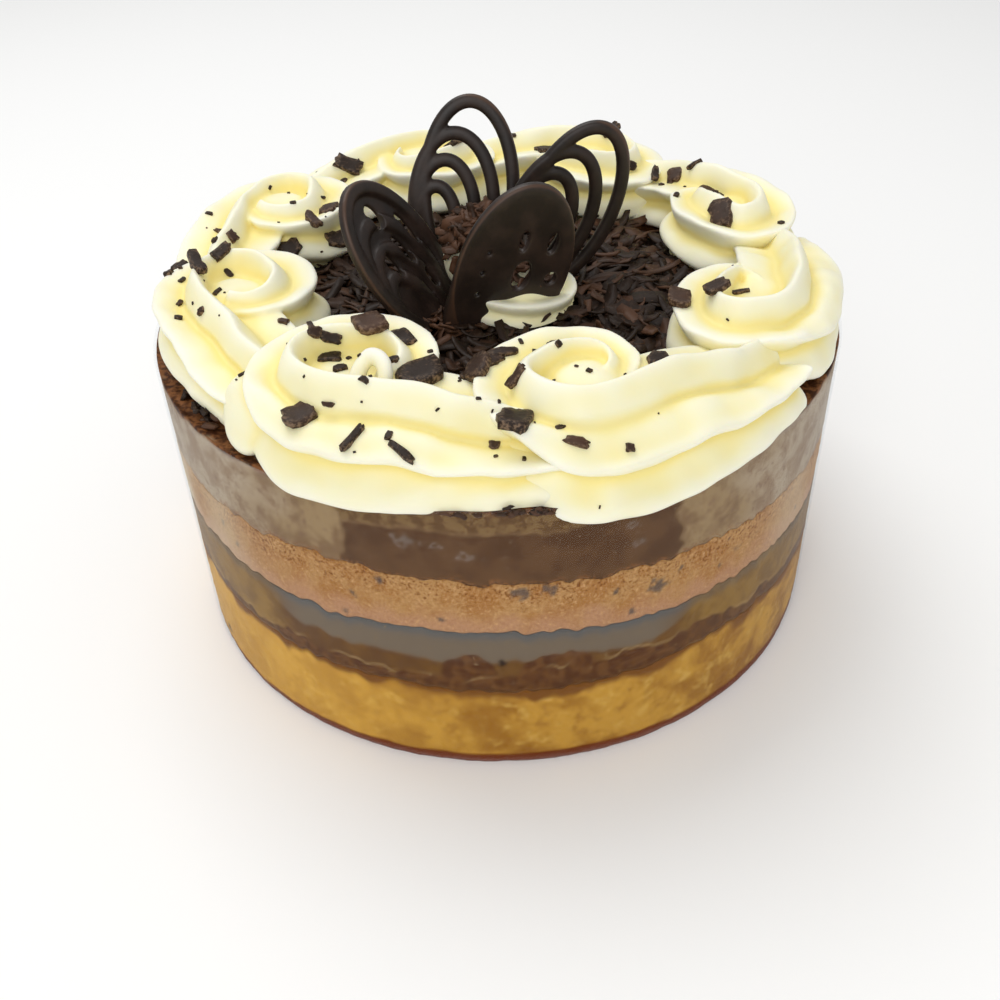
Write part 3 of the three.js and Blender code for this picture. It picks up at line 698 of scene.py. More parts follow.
def swirl_rope(number):
    """One swirl's rope, and the mound under its eye: a curl whose loop widens from 4.2 mm, goes round a
    little over once and is then dragged along the ring as a tail that spreads and sinks. Where it leans
    out over the rim it hangs down."""
    t = np.linspace(0.0, 1.0, 220)
    loop = np.minimum(t / LOOP_SHARE, 1.0)
    tail = np.maximum(0.0, (t - LOOP_SHARE) / TAIL_SHARE)
    turn = mix(-0.6, 1.5 * np.pi, loop)

    def swing(inner):
        """How far the rope swings out from the loop's middle, for an inner half of a given size."""
        wider = SWIRL_LOOP + SWIRL_REACH[number] - inner
        return mix(FIRST_LOOP, inner, ease(2.2 * loop)) + wider * ease(2.5 * loop - 1.5)

    along = SWIRL_STRETCH * swing(INNER_LOOP) * np.cos(turn) + TAIL_LENGTH * tail
    spread = 1.0 + TAIL_SPREAD * (0.2 * ease(4.0 * loop - 3.0) + 0.8 * ease(2.2 * tail))
    outward = -swing(INNER_LOOP * SWIRL_TIGHT[number]) * np.sin(turn) - ROPE_RADIUS * (spread - 1.0)
    growth = ease(1.9 * loop)
    rope = ROPE_RADIUS * SWIRL_BULK[number]
    radius = mix(5.0, rope, growth) * mix(1.0, 0.8, tail**2)
    sink = mix(1.0, 0.45, ease(1.25 * tail - 0.25))
    lift = mix(SWIRL_START[number], 0.84 * rope * sink, growth)
    middle = math.radians(FIRST_SWIRL_ANGLE + SWIRL_SHIFT[number] + number * 360.0 / SWIRLS)
    centre = polar(SWIRL_RING + outward, middle + along / SWIRL_RING, CAKE_TOP + lift)
    first = math.radians(SWIRL_TURN[number])
    shapes = [
        fluted_rope(t, centre, radius, spread, ROPE_FLUTES, FLUTE_DEPTH, first, 0.3, LIP_TROUGH),
        ball(EYE_MOUND, polar(SWIRL_RING, middle, CAKE_TOP + SWIRL_EYE[number])),
    ]
    if number == LIP_SWIRL:
        bearing, reach, height, size = LIP
        shapes += [ball(size, polar(reach, math.radians(bearing), height)), curl_hook()]
    for points in shapes:
        past = np.arctan2(points[..., 1], points[..., 0]) - middle
        past = np.degrees(np.arctan2(np.sin(past), np.cos(past)))
        held = 1.0 - ease((past - 6.0) / 26.0)
        reached = ease((np.hypot(points[..., 0], points[..., 1]) - 70.0) / 8.0)
        points[..., 2] -= SWIRL_DROOP[number] * held * reached
    return shapes


def worked(mesh, *changes):
    """A mesh after some modifiers, each given by its kind and its settings."""
    piece = bpy.data.objects.new(mesh.name, mesh)
    scene.collection.objects.link(piece)
    for kind, settings in changes:
        modifier = piece.modifiers.new(kind, kind)
        for name, value in settings.items():
            setattr(modifier, name, value)
    result = bpy.data.meshes.new_from_object(piece.evaluated_get(bpy.context.evaluated_depsgraph_get()))
    bpy.data.objects.remove(piece)
    return result


def fused(mesh, voxel, passes):
    """One closed skin round all the shapes in a mesh, on a grid of voxel mm, smoothed in a few passes."""
    remesh = {"mode": "VOXEL", "voxel_size": voxel * MM}
    result = worked(mesh, ("REMESH", remesh), ("SMOOTH", {"factor": 0.5, "iterations": passes}))
    bpy.data.meshes.remove(mesh)
    result.shade_smooth()
    return result


def cut_away(mesh, tool_mesh, solver, crossing=False):
    """What is left of a mesh when the space of another is taken out of it. Crossing is for a mesh whose
    own shapes run through each other."""
    tool = bpy.data.objects.new(tool_mesh.name, tool_mesh)
    scene.collection.objects.link(tool)
    cut = {"operation": "DIFFERENCE", "solver": solver, "use_self": crossing, "object": tool}
    result = worked(mesh, ("BOOLEAN", cut))
    bpy.data.objects.remove(tool)
    return result


def reshape(mesh, points):
    """Moves a mesh's points to new places, given in mm."""
    mesh.vertices.foreach_set("co", (points * MM).ravel())
    mesh.update()


def clear_of_cake(mesh):
    """Cuts away what lies inside the cake: a round block up to the mousse's top and out to the film."""
    block = polar(CLEAR_RADIUS, full_turn(360), np.array([30.0, CAKE_TOP + 0.3])[:, None])
    result = cut_away(mesh, skin("block", [block]), "MANIFOLD")
    result.shade_smooth()
    result.set_sharp_from_angle(angle=math.radians(50.0))
    return result


def keep_relief(mesh, yellow=1.0):
    """Stores a painted shade for each point by how deep it lies in a crease, and a painted highlight by
    how far out it is on a crest: how far the middle of its neighbours stands in front of it along its
    normal, or behind it, gathered over the mesh's edges and spread out a few times. The share given is how
    much of the painted shade in the creases shows."""
    points = points_of(mesh)
    edges = np.empty(len(mesh.edges) * 2, dtype=np.int64)
    mesh.edges.foreach_get("vertices", edges)
    normals = np.empty(len(points) * 3)
    mesh.vertex_normals.foreach_get("vector", normals)
    normals = normals.reshape(-1, 3)
    count = np.bincount(edges, minlength=len(points))[:, None]
    first, second = edges[0::2], edges[1::2]
    ends, others = np.concatenate([first, second]), np.concatenate([second, first])

    def neighbours(values):
        columns = [np.bincount(ends, values[others, k], len(values)) for k in range(values.shape[1])]
        return np.stack(columns, axis=-1) / count

    middle = points
    for _ in range(30):
        middle = neighbours(middle)
    hollow = ((middle - points) * normals).sum(axis=1)[:, None]
    for _ in range(8):
        hollow = neighbours(hollow)
    hollow = hollow[:, 0]
    keep(mesh, crease=yellow * ease(hollow / 0.5 + 0.4), crest=ease(-hollow / 0.8 + 0.05))


whipped = Finish(
    "whipped_cream",
    Roughness=0.42,
    Specular_IOR_Level=0.3,
    Subsurface_Weight=0.2,
    Subsurface_Radius=(1.0, 0.8, 0.45),
    Subsurface_Scale=0.001,
)
pore = whipped.grain(0.7, 3.0, 0.6)
cloud = whipped.grain(12.0, 2.0)
body = whipped.two_tone(cloud, 0.30, 0.75, CREAM_BODY)
# painted highlight on the crests and painted shade in the creases
whipped.colour(body, ("crest", CREAM_CREST), ("crease", CREAM_DEEP))
whipped.bump(pore, 0.06, 0.4)

swirl_pieces = []
for number in range(SWIRLS):
    swirl_mesh = fused(skin(f"swirl_rope_{number + 1}", swirl_rope(number)), 0.42, 2)
    points = points_of(swirl_mesh)
    points += 0.22 * np.stack([mottle(points, 9.0, 41 + k) for k in range(3)], axis=-1)
    reshape(swirl_mesh, points)
    keep_relief(swirl_mesh)
    swirl = placed(f"cream_rope_{number + 1}", clear_of_cake(swirl_mesh), whipped)
    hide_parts(f"cream_swirl_{number + 1}")
    swirl_pieces.append(swirl)


# The dollop is a small twist of the same cream, piped in the middle of the shavings. It sits on
# them by its own weight and holds the feet of the four leaves.
HEAP_TOP = 72.3
DOLLOP_CENTRE = (4.0, -4.5)
DOLLOP_MOUND = 9.0
DOLLOP_PEAK = (-3.0, -0.5, 80.0)
PEAK_MOUND = 8.5
DOLLOP_LOOP = 10.4
DOLLOP_ROPE = 6.0
DOLLOP_FLUTES = 5


def dollop_rope():
    """A rope wound up in a cone: its loop closes from 10.4 mm to a tenth of that while it climbs and
    thins, over a low mound in the middle and a higher one behind it."""
    t = np.linspace(0.0, 1.0, 160)
    turn = mix(-2.3, 2.1 * np.pi, t)
    swing = DOLLOP_LOOP * mix(1.0, 0.1, ease(1.1 * t - 0.1))
    climb = HEAP_TOP + 2.8 - 2.6 * ease(4.0 * t) + 4.0 * ease(1.4 * t - 0.4)
    centre = polar(swing, turn, climb) + (*DOLLOP_CENTRE, 0.0)
    radius = mix(DOLLOP_ROPE, 4.5, ease(2.0 * t)) * mix(0.75, 1.0, ease(8.0 * t))
    return [
        fluted_rope(t, centre, radius, np.ones_like(t), DOLLOP_FLUTES, FLUTE_DEPTH, 0.0, 0.5),
        ball(0.9 * radius[0], centre[0]),
        ball(DOLLOP_MOUND, (*DOLLOP_CENTRE, HEAP_TOP)),
        ball(PEAK_MOUND, DOLLOP_PEAK),
    ]


dollop_mesh = fused(skin("dollop_rope", dollop_rope()), 0.45, 4)
points = points_of(dollop_mesh)
points[:, 2] = np.maximum(points[:, 2], HEAP_TOP + 0.3)
reshape(dollop_mesh, points)
# only a quarter of the painted shade in the dollop's creases
keep_relief(dollop_mesh, 0.25)
dollop = placed("cream_dollop", dollop_mesh, whipped)
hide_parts("centre_dollop")


# The filigree leaves are dark chocolate cast in an oval mould. Two came out as nested open
# loops; two filled up and have only slits. Each stands with its foot in the dollop.
LEAF_LENGTH = 40.0
LEAF_WIDTH = 25.0
LEAF_BAR = 3.0
FRONT_SLITS = (
    (0.2, 27.4, 2.0, 5.0), (6.5, 27.5, 2.0, 5.0), (1.8, 19.4, 4.0, 7.0), (8.5, 19.3, 2.6, 3.0),
    (0.5, 11.0, 3.0, 4.0), (-6.6, 24.0, 0.9, 1.1), (-6.9, 19.3, 0.9, 1.1), (-6.6, 14.2, 0.9, 1.1),
)
LEFT_SLITS = (
    (2.0, 31.0, 3.4, 6.0), (7.4, 22.0, 2.4, 9.0), (2.2, 21.0, 2.4, 8.0), (-3.0, 22.0, 2.2, 7.0),
    (3.0, 11.5, 2.2, 6.0),
)
PLATE_SHARES = (0.1, 0.5, 0.9, 0.965, 0.99, 1.0, 1.0, 0.99, 0.965, 0.9, 0.5, 0.1)
PLATE_CLIMB = (0.0, 0.0, 0.0, 0.08, 0.22, 0.4, 0.6, 0.78, 0.92, 1.0, 1.0, 1.0)
CHOCOLATE_CAST = ((33, 25, 21), (50, 37, 31))
# the colour of the highlight painted along the leaves' edges
CHOCOLATE_EDGE = (92, 66, 50)


def leaf_loop(length, width, shift, level, rise):
    """A bar bent to an oval: a rounded section, three mm wide and rise mm high each way, carried round an
    ellipse whose foot is at the leaf's foot."""
    turn = full_turn(120)
    across, tall = 0.5 * (width - LEAF_BAR), 0.5 * (length - LEAF_BAR)
    path = np.stack([shift + across * np.sin(turn), 0.5 * length - tall * np.cos(turn)], axis=-1)
    outward = np.stack([tall * np.sin(turn), -across * np.cos(turn)], axis=-1)
    outward /= np.linalg.norm(outward, axis=1, keepdims=True)
    bend = full_turn(20)
    sideways = 0.5 * LEAF_BAR * np.sign(np.cos(bend)) * np.abs(np.cos(bend)) ** 0.8
    height = rise * np.sign(np.sin(bend)) * np.abs(np.sin(bend)) ** 0.8
    flat = path[:, None] + outward[:, None] * sideways[None, :, None]
    return np.concatenate([flat, np.broadcast_to(level + height[:, None], (120, 20, 1))], axis=-1)


def leaf_bars(name, outer_width, outer_shift, level, outer_rise, inner_rise):
    """An outer loop and three smaller ones nested in it, which share its foot and one side."""
    bars = [leaf_loop(LEAF_LENGTH, outer_width, outer_shift, level, outer_rise)]
    for step in (1, 2, 3):
        length, width = LEAF_LENGTH - 1.0 - 5.6 * step, LEAF_WIDTH - 0.5 - 4.0 * step
        bars.append(leaf_loop(length, width, 0.5 * (width - LEAF_WIDTH), level, inner_rise))
    return skin(name, [bar[::-1] for bar in bars], closed=True)


def leaf_plate(low, high):
    """An oval plate: rings of the leaf's outline, drawn in towards both faces so that its edge is round."""
    turn = full_turn(96)
    shares, climb = np.array(PLATE_SHARES)[:, None], np.array(PLATE_CLIMB)[:, None]
    x = shares * 0.5 * LEAF_WIDTH * np.sin(turn)
    y = 0.5 * LEAF_LENGTH - shares * 0.5 * LEAF_LENGTH * np.cos(turn)
    return np.stack([x, y, mix(low, high, climb) + 0.0 * turn], axis=-1)


def slit_peg(x, y, width, length):
    """An upright oval peg where a slit is cut."""
    turn = full_turn(20)
    level = np.array([-4.0, 4.0])[:, None]
    oval = (x + 0.5 * width * np.sin(turn), y + 0.5 * length * np.cos(turn))
    return np.stack(np.broadcast_arrays(*oval, level), axis=-1)[:, ::-1]


def open_leaf():
    """The bare loops of the mould, run together where they touch."""
    return fused(leaf_bars("open_leaf", 22.5, 0.95, 0.0, 1.2, 1.2), 0.3, 3)


def filled_leaf(slits, plate_low, plate_high, bar_level):
    """A thin plate with the mould's bars standing on one face, cut through by the slits."""
    pegs = skin("pegs", [slit_peg(*slit) for slit in slits])
    plate = skin("filled_leaf", [leaf_plate(plate_low, plate_high)])
    bars = leaf_bars("leaf_bars", LEAF_WIDTH, 0.0, bar_level, 0.9, 0.7)
    points, faces, start = [], [], 0
    for mesh in (cut_away(plate, pegs, "EXACT"), cut_away(bars, pegs, "EXACT", crossing=True)):
        points.append(points_of(mesh))
        faces += [[start + corner for corner in face.vertices] for face in mesh.polygons]
        start += len(mesh.vertices)
    joined_mesh = bpy.data.meshes.new("filled_leaf")
    joined_mesh.from_pydata(np.concatenate(points) * MM, [], faces)
    return fused(joined_mesh, 0.3, 3)


def stood(mesh, foot, tip, face):
    """Stands a leaf up: its length runs from foot to tip, its front looks along face, and its middle plane
    holds both points. Stores how near each point is to the leaf's edge, where a highlight is painted."""
    base = np.array(foot)
    along = np.array(tip) - base
    along /= np.linalg.norm(along)
    normal = np.array(face) - np.dot(face, along) * along
    normal /= np.linalg.norm(normal)
    across = np.cross(along, normal)
    flat = points_of(mesh)
    half = 0.5 * LEAF_LENGTH
    oval = np.hypot(flat[:, 0] / (0.5 * LEAF_WIDTH), (flat[:, 1] - half) / half)
    keep(mesh, edge=ease((oval - 0.965) / 0.02) * ease((flat[:, 2] - 0.1) / 0.6))
    points = base + flat[:, :1] * across + flat[:, 1:2] * along + flat[:, 2:] * normal
    points[:, 2] = np.maximum(points[:, 2], HEAP_TOP + 0.3)
    reshape(mesh, points)
    return mesh


cast = Finish("cast_chocolate", Roughness=0.36, Specular_IOR_Level=0.36)
cloud = cast.grain(6.0, 3.0, 0.6)
fine = cast.grain(0.8, 3.0, 0.6)
# painted highlight along the leaves' edges
cast.colour(cast.two_tone(cloud, 0.35, 0.70, CHOCOLATE_CAST), ("edge", CHOCOLATE_EDGE, 0.6))
cast.roughness(cloud, 0.28, 0.52)
cast.bump(fine, 0.08, 0.35)

left_leaf = filled_leaf(LEFT_SLITS, -1.1, -0.1, 0.2)
front_leaf = filled_leaf(FRONT_SLITS, -0.4, 1.1, -0.3)
leaves = (
    ("back", open_leaf(), (-7.3, 2.9, 72.5), (-4.8, 14.4, 110.7), (0.04, -0.96, 0.29)),
    ("right", open_leaf(), (7.4, 2.6, 71.0), (23.4, 4.6, 106.0), (0.14, -0.99, 0.0)),
    ("left", left_leaf, (-8.9, -8.3, 68.5), (-28.2, -15.3, 100.5), (0.82, -0.4, 0.41)),
    ("front", front_leaf, (-2.2, -14.2, 64.9), (9.0, -16.3, 101.2), (0.25, -0.95, -0.2)),
)
for side_name, leaf_mesh, foot, tip, face in leaves:
    leaf = placed(f"chocolate_leaf_{side_name}", stood(leaf_mesh, foot, tip, face), cast)
    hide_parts(f"filigree_{side_name}")


# The shavings are thin dark curls scraped off a chocolate block, strewn over the middle of the
# cake. A dark core under them fills the heap; a few lie on the rim under the cream, and small
# flakes cling to the film.
HEAP_RADIUS = 47.0
SHAVINGS = 1000
RIM_SHAVINGS = 150
RIM_CLUMPS = ((212.0, 70.5, 26), (219.0, 71.0, 16), (160.0, 70.0, 12), (338.0, 71.5, 8))
RIM_LIMIT = 73.2
FILM_FLAKES = ((265.0, 3), (271.0, 7), (276.0, 5))
FLAKE_RADIUS = 76.5
STRIP_RINGS = 7
STRIP_POINTS = STRIP_RINGS * 4 + 2
SCRAPED_DARK = ((39, 26, 17), (90, 61, 43))
SCRAPED_FLECK = (92, 68, 52)
SCRAPED_DUST = (138, 112, 88)


def heap_core():
    """A low mound: height falls from the middle to the edge with the square of the distance, and short
    waves give it the bumps of what lies deeper."""
    share = np.concatenate([np.linspace(0.1, 1.0, 8), np.linspace(1.0, 0.02, 60)])[:, None]
    turn = full_turn(240)
    upper = (np.arange(68) >= 8)[:, None]
    level = polar(HEAP_RADIUS * share, turn, 0.0)
    bumps = 0.35 * mottle(level, 4.0, 51) + 0.25 * mottle(level, 2.0, 52)
    height = np.where(upper, CAKE_TOP + 0.7 + 1.4 * (1.0 - share**2) + bumps, CAKE_TOP + 0.3)
    return polar(HEAP_RADIUS * share, turn, np.maximum(height, CAKE_TOP + 0.3))


def turned(points, yaw, pitch, roll):
    """Turns each thing's points about x by roll, then y by pitch, then z by yaw."""
    shape = (-1,) + (1,) * (points.ndim - 2)
    yaw, pitch, roll = yaw.reshape(shape), pitch.reshape(shape), roll.reshape(shape)
    x, y, z = points[..., 0], points[..., 1], points[..., 2]
    y, z = y * np.cos(roll) - z * np.sin(roll), y * np.sin(roll) + z * np.cos(roll)
    x, z = x * np.cos(pitch) + z * np.sin(pitch), -x * np.sin(pitch) + z * np.cos(pitch)
    x, y = x * np.cos(yaw) - y * np.sin(yaw), x * np.sin(yaw) + y * np.cos(yaw)
    return np.stack([x, y, z], axis=-1)


def shaving_strips(draw, count, longest):
    """Curled strips: a flat four-cornered section carried along an arc, narrower and rougher towards both
    ends, with a slight twist. Length, width, curl and thickness are drawn for each strip."""
    each = (count, 1)
    length = longest * draw.uniform(0.35, 1.0, size=each)
    width = draw.uniform(1.4, 4.2, size=each) * np.minimum(1.0, longest / 8.0)
    curl = draw.uniform(0.1, 0.9, size=each) * draw.choice([-1.0, 1.0], size=each)
    thick = draw.uniform(0.14, 0.3, size=each)
    u = np.linspace(-1.0, 1.0, STRIP_RINGS)[None, :]
    bow = 0.5 * length / curl
    x = bow * np.sin(u * curl)
    z = bow * (1.0 - np.cos(u * curl))
    half = 0.5 * width * (1.0 - 0.35 * u**2) * draw.uniform(0.75, 1.1, size=(count, STRIP_RINGS))
    slant = (draw.uniform(-0.5, 0.5, size=each) * u)[..., None]
    corner_y = half[..., None] * np.array([1.0, -1.0, -1.0, 1.0])
    corner_z = thick[..., None] * np.array([-1.0, -1.0, 1.0, 1.0])
    tilt_y = corner_y * np.cos(slant) - corner_z * np.sin(slant)
    tilt_z = corner_y * np.sin(slant) + corner_z * np.cos(slant)
    ragged_x = draw.uniform(-0.4, 0.4, size=(count, STRIP_RINGS, 4)) * (np.abs(u) > 0.9)[..., None]
    return np.stack([x[..., None] + ragged_x, tilt_y, z[..., None] + tilt_z], axis=-1)


def dropped(strips, span, bearing, level):
    """Moves each strip out to its place on the cake."""
    return strips + polar(span, bearing, level)[:, None, None]


def strewn(draw, count):
    """The heap's shavings: spread evenly over the disc, each laid nearly flat and pointing anywhere."""
    strips = shaving_strips(draw, count, 13.0)
    yaw = draw.uniform(0.0, 2.0 * np.pi, count)
    strips = turned(strips, yaw, draw.normal(0.0, 0.14, count), draw.normal(0.0, 0.22, count))
    span = HEAP_RADIUS * np.sqrt(draw.uniform(0.0, 1.0, count))
    bearing = draw.uniform(0.0, 2.0 * np.pi, count)
    level = CAKE_TOP + 1.1 + 1.6 * (1.0 - (span / HEAP_RADIUS) ** 2) + draw.uniform(0.0, 1.6, count)
    return dropped(strips, span, bearing, level)


def strewn_on_rim(draw, count):
    """Shavings that lie flat on the mousse near its rim, most of them along the rim."""
    strips = shaving_strips(draw, count, 6.0)
    bearing = draw.uniform(0.0, 2.0 * np.pi, count)
    yaw = bearing + 0.5 * np.pi + draw.normal(0.0, 0.5, count)
    strips = turned(strips, yaw, draw.normal(0.0, 0.06, count), draw.normal(0.0, 0.08, count))
    span = draw.uniform(60.0, 73.6, count)
    return dropped(strips, span, bearing, CAKE_TOP + 0.35 + draw.uniform(0.0, 0.5, count))


def clumped(draw, bearing, reach, count):
    """Dark shavings gathered in one spot on the rim, in a loose pile two or three deep."""
    strips = shaving_strips(draw, count, 5.0)
    yaw = math.radians(bearing) + 0.5 * np.pi + draw.normal(0.0, 0.6, count)
    strips = turned(strips, yaw, draw.normal(0.0, 0.12, count), draw.normal(0.0, 0.25, count))
    turn = np.radians(bearing + draw.normal(0.0, 2.6, count))
    span = np.minimum(reach + draw.normal(0.0, 1.6, count), RIM_LIMIT)
    return dropped(strips, span, turn, CAKE_TOP + 0.4 + draw.uniform(0.0, 1.6, count))


def film_flakes(draw, bearing, count):
    """Small flakes that cling to the outside of the film along its rim, flat against it."""
    strips = shaving_strips(draw, count, 2.6)
    turn = np.radians(bearing + draw.normal(0.0, 1.6, count))
    strips = turned(strips, turn + 0.5 * np.pi, draw.normal(0.0, 0.3, count), np.full(count, 0.5 * np.pi))
    return dropped(strips, FLAKE_RADIUS, turn, CAKE_TOP + 0.2 + draw.normal(0.0, 0.35, count))


scraped = Finish("scraped_chocolate", Roughness=0.5, Specular_IOR_Level=0.26)
fine = scraped.grain(0.7, 3.0, 0.6)
cloud = scraped.grain(4.0, 3.0, 0.6)
tone = scraped.sum(scraped.value("tone"), scraped.sum(cloud, 0.4, "MULTIPLY"))
scraped.colour(
    scraped.two_tone(tone, 0.25, 1.1, SCRAPED_DARK),
    ((fine, 0.60, 0.80), SCRAPED_FLECK),
    ((fine, 0.42, 0.66), SCRAPED_DUST, "rim", 0.7),
)
scraped.roughness(cloud, 0.38, 0.66)
scraped.bump(fine, 0.12, 0.5)

draw = np.random.default_rng(61)
heap = placed("shavings_core", skin("shavings_core", [heap_core()]), scraped)
keep(heap.data, tone=np.full(len(heap.data.vertices), 0.05))
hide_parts("shavings_heap")
loose = [clumped(draw, *clump) for clump in RIM_CLUMPS]
loose += [film_flakes(draw, *flake) for flake in FILM_FLAKES]
strips = np.concatenate([strewn(draw, SHAVINGS), strewn_on_rim(draw, RIM_SHAVINGS)] + loose)
strips_mesh = skin("chocolate_shavings", list(strips))
keep(strips_mesh, tone=np.repeat(draw.uniform(0.0, 0.8, len(strips)) ** 1.5, STRIP_POINTS))
placed("chocolate_shavings", strips_mesh, scraped)


# The chips are broken bits of the same chocolate, dropped on the cream before it set, so that
# each lies flat on the cream and has sunk in a little. Fine splinters lie round them.
CHIPS = (
    (127, 60, 7.4, 4.2, -15), (130, 58, 2.2, 1.6, 60), (152, 43, 5.8, 3.7, 80), (166, 65, 3, 1.3, -10),
    (173, 59, 3, 2.4, -30), (167, 48, 5.5, 4, 20), (162, 43, 6.6, 2.4, -55), (156, 40, 5.5, 4.5, 20),
    (178, 70, 4.3, 3, 50), (187, 70, 2.2, 2, 0), (193, 63, 9, 2.6, -60), (186, 62, 4.3, 3.6, 10),
    (188, 58, 5, 2.5, 50), (197, 68, 2.2, 1, 80), (207, 65, 1.8, 1.6, 0), (216, 52, 2.2, 1.4, -20),
    (233, 56, 2.6, 2.3, 0), (235, 54, 4.2, 2.1, -10), (236, 56, 4.6, 3.1, 0), (241, 49, 6.2, 5.5, 25),
    (248, 61, 3, 1.8, 80), (250, 55, 2, 1.5, 0), (246, 45, 7, 4, -60), (255, 55, 8.4, 7.4, 20),
    (255, 62, 5.5, 4.3, 80), (241, 72, 6, 5.6, 30), (245, 70, 2.4, 0.9, -15), (250, 74, 6, 1.3, 50),
    (257, 75, 6, 1.4, -45), (266, 53, 8, 4.6, 80), (269, 51, 4, 2.5, 40), (271, 49, 6, 2, 15),
    (273, 60, 4.8, 2, 25), (272, 69, 7.4, 6.2, 85), (269, 69, 2, 2, 0), (280, 73, 4.5, 1.8, -12),
    (287, 75, 1.7, 1.5, 0), (285, 48, 7, 2.4, 0), (301, 57, 5, 3.7, 65), (313, 48, 5.6, 4.6, 10),
    (322, 46, 6, 4.7, 75), (349, 46, 6, 5, 45), (324, 53, 4.9, 3.8, 20), (333, 55, 4.4, 0.9, 0),
    (40, 59, 4.4, 3.9, 70), (44, 56, 5, 2, 85), (50, 54, 3, 2.4, 0), (25, 58, 4.4, 3.6, -50),
    (10, 52, 8, 5.6, 85), (28, 58, 4, 2.6, -60), (44, 49, 7, 2.4, 50), (35, 60, 4, 1, 0),
    (75, 56, 6, 4, 20), (100, 53, 5, 4, 60), (61, 64, 5, 3, 30),
)
CHIP_THICKNESS = 0.17
CHIP_SHARES = (0.5, 0.94, 1.0, 1.0, 0.94, 0.5)
CHIP_CLIMB = (-1.0, -1.0, -0.6, 0.6, 1.0, 1.0)
CHIP_COLUMNS = 16
CHIP_DUST = (0.0, 0.8, 1.0, 1.0, 0.8, 0.0)
SPLINTERS = 100
SPLINTER_COLUMNS = 8
SPLINTER_DUST = (0.0, 0.5, 0.6, 0.6, 0.5, 0.0)


def chip_lumps(draw, length, width, thick, columns):
    """Flat broken pieces: rings of a rounded oblong, jagged along its edge, from the under face to the
    upper, slightly bowed along their length."""
    count = len(length)
    length, width, thick = [size[:, None, None] for size in (length, width, thick)]
    around = full_turn(columns)
    oblong = (np.abs(np.cos(around)) ** 6 + np.abs(np.sin(around)) ** 6) ** (-1.0 / 6.0)
    jag = 1.0 + draw.uniform(-0.2, 0.12, size=(count, 1, columns))
    shares, climb = np.array(CHIP_SHARES)[:, None], np.array(CHIP_CLIMB)[:, None]
    x = 0.5 * length * shares * jag * oblong * np.cos(around)
    y = 0.5 * width * shares * jag * oblong * np.sin(around)
    rough = 1.0 + draw.uniform(-0.18, 0.18, size=(count, 6, columns))
    bow = draw.uniform(-0.05, 0.09, size=(count, 1, 1)) * x**2
    return np.stack([x, y, 0.5 * thick * climb * rough + bow], axis=-1)


def cream_under(trees, x, y):
    """The highest cream at a spot seen from above: its point and normal, or None."""
    best = None
    for tree in trees:
        spot, normal, _, _ = tree.ray_cast(Vector((x * MM, y * MM, 0.2)), Vector((0.0, 0.0, -1.0)))
        if spot is not None and (best is None or spot.z > best[0].z):
            best = (spot, normal)
    return best


def laid(lumps, spots, turns, sink):
    """Lays each thing on its spot: turned about its own upright, then tipped to the surface's normal."""
    laid_down = []
    for lump, (spot, normal), yaw in zip(lumps, spots, turns):
        upright = (normal + Vector((0.0, 0.0, 0.4))).normalized()
        tip = Vector((0.0, 0.0, 1.0)).rotation_difference(upright).to_matrix()
        tip = tip @ Matrix.Rotation(yaw, 3, "Z")
        laid_down.append(lump @ np.array(tip).T + np.array(spot) / MM + sink * np.array(upright))
    return laid_down


graph = bpy.context.evaluated_depsgraph_get()
cream_trees = [BVHTree.FromObject(piece, graph) for piece in swirl_pieces]
draw = np.random.default_rng(71)
spots, rows = [], []
for chip in CHIPS:
    bearing = math.radians(chip[0])
    found = cream_under(cream_trees, chip[1] * math.cos(bearing), chip[1] * math.sin(bearing))
    if found is not None:
        spots.append(found)
        rows.append(chip)
rows = np.array(rows)
chip_thick = 0.5 + CHIP_THICKNESS * 0.5 * (rows[:, 2] + rows[:, 3])
lumps = chip_lumps(draw, rows[:, 2], rows[:, 3], chip_thick, CHIP_COLUMNS)
chips = laid(lumps, spots, np.radians(rows[:, 4]), 0.15)
spots = []
while len(spots) < SPLINTERS:
    near = rows[draw.integers(len(rows))]
    bearing = math.radians(near[0] + draw.normal(0.0, 11.0))
    span = near[1] + draw.normal(0.0, 6.0)
    found = cream_under(cream_trees, span * math.cos(bearing), span * math.sin(bearing))
    if found is not None and found[1].z > 0.35:
        spots.append(found)
size = 0.3 + 1.3 * draw.uniform(0.0, 1.0, SPLINTERS) ** 3
long_size = size * draw.uniform(1.0, 2.2, SPLINTERS)
lumps = chip_lumps(draw, long_size, size, 0.6 * size + 0.2, SPLINTER_COLUMNS)
splinters = laid(lumps, spots, draw.uniform(0.0, np.pi, SPLINTERS), 0.0)
chips_mesh = skin("chocolate_chips", chips + splinters)
chip_dust = np.append(np.repeat(CHIP_DUST, CHIP_COLUMNS), [0.0, 0.0])
splinter_dust = np.append(np.repeat(SPLINTER_DUST, SPLINTER_COLUMNS), [0.0, 0.0])
chip_tones = np.repeat(draw.uniform(0.0, 0.5, len(chips)), len(chip_dust))
keep(
    chips_mesh,
    rim=np.concatenate([np.tile(chip_dust, len(chips)), np.tile(splinter_dust, SPLINTERS)]),
    tone=np.concatenate([chip_tones, np.full(SPLINTERS * len(splinter_dust), 0.15)]),
)
placed("chocolate_chips", chips_mesh, scraped)


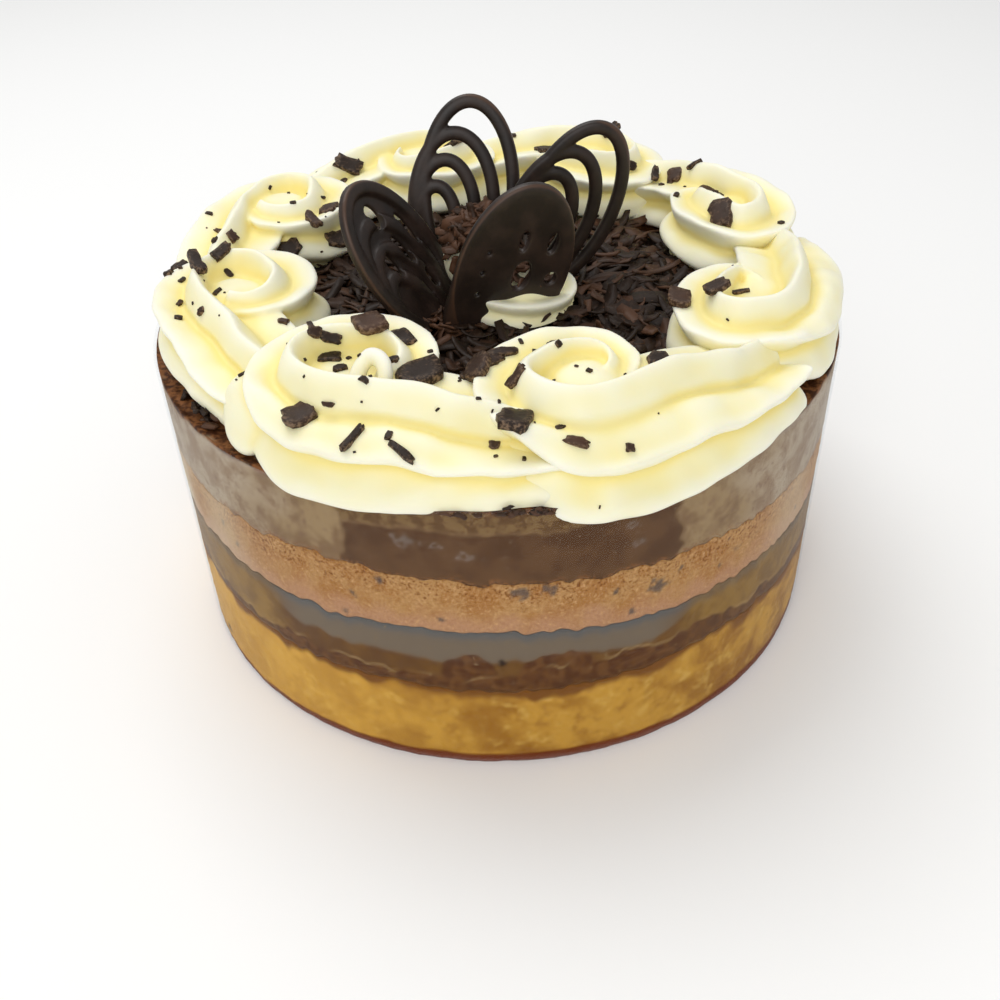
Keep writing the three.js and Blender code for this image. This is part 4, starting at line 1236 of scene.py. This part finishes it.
# The crumbs are what broke off the curls, lighter and duller, dropped over the dollop between
# the leaves, where they cling to the cream.
CRUMBS = 330
CRUMB_DROPS = (
    (-3.0, -0.5, 3.2), (-3.0, -0.5, 4.2), (-9.5, -14.0, 2.6), (-7.0, -8.0, 3.0), (5.0, -7.0, 4.0),
)
draw = np.random.default_rng(81)
dollop_trees = [BVHTree.FromObject(dollop, graph), BVHTree.FromObject(heap, graph)]
spots = []
while len(spots) < CRUMBS:
    middle = CRUMB_DROPS[draw.integers(len(CRUMB_DROPS))]
    x = middle[0] + draw.normal(0.0, middle[2])
    y = middle[1] + draw.normal(0.0, middle[2])
    found = cream_under(dollop_trees, x, y)
    if found is not None and (y > -12.5 or x < -4.5):
        spots.append((found[0] + Vector((0.0, 0.0, draw.uniform(0.0, 1.8) * MM)), found[1]))
strips = shaving_strips(draw, CRUMBS, 7.2)
strips = turned(strips, np.zeros(CRUMBS), draw.normal(0.0, 0.4, CRUMBS), draw.normal(0.0, 0.5, CRUMBS))
crumbs_mesh = skin("chocolate_crumbs", laid(strips, spots, draw.uniform(0.0, 6.28, CRUMBS), 0.5))
keep(crumbs_mesh, tone=np.repeat(draw.uniform(0.2, 1.0, CRUMBS), STRIP_POINTS))
placed("chocolate_crumbs", crumbs_mesh, scraped)


# The floor is a plain pale sheet under the cake. Two large soft lamps light it, one above and a
# little behind the cake and one in front, with even white light from all round.
FLOOR_PALE = ((250, 250, 249), (253, 253, 252))
LAMP_AIM = Vector((0.0, 0.0, 0.06))
ROOM_LIGHT = 0.55
floor_mesh = bpy.data.meshes.new("floor")
floor_mesh.from_pydata([(-5, -5, 0), (5, -5, 0), (5, 5, 0), (-5, 5, 0)], [], [(0, 1, 2, 3)])
pale = Finish("pale_floor", Roughness=0.8)
pale.colour(pale.blend(pale.grain(400.0, 1.0), *FLOOR_PALE))
floor_mesh.materials.append(pale.material)
floor = bpy.data.objects.new("floor", floor_mesh)
scene.collection.objects.link(floor)


def soft_lamp(name, place, size, power):
    """A square lamp that looks at the cake."""
    lamp_light = bpy.data.lights.new(name, "AREA")
    lamp_light.size = size
    lamp_light.energy = power
    lamp = bpy.data.objects.new(name, lamp_light)
    lamp.location = place
    lamp.rotation_euler = (LAMP_AIM - Vector(place)).to_track_quat("-Z", "Y").to_euler()
    scene.collection.objects.link(lamp)


soft_lamp("lamp_above", (-0.2, 0.28, 0.85), 0.6, 3.3)
soft_lamp("lamp_front", (-0.08, -0.85, 0.66), 0.8, 4.0)
world = bpy.data.worlds.new("studio")
scene.world = world
world.use_nodes = True
background = world.node_tree.nodes["Background"]
background.inputs["Color"].default_value = (1.0, 1.0, 1.0, 1.0)
background.inputs["Strength"].default_value = ROOM_LIGHT
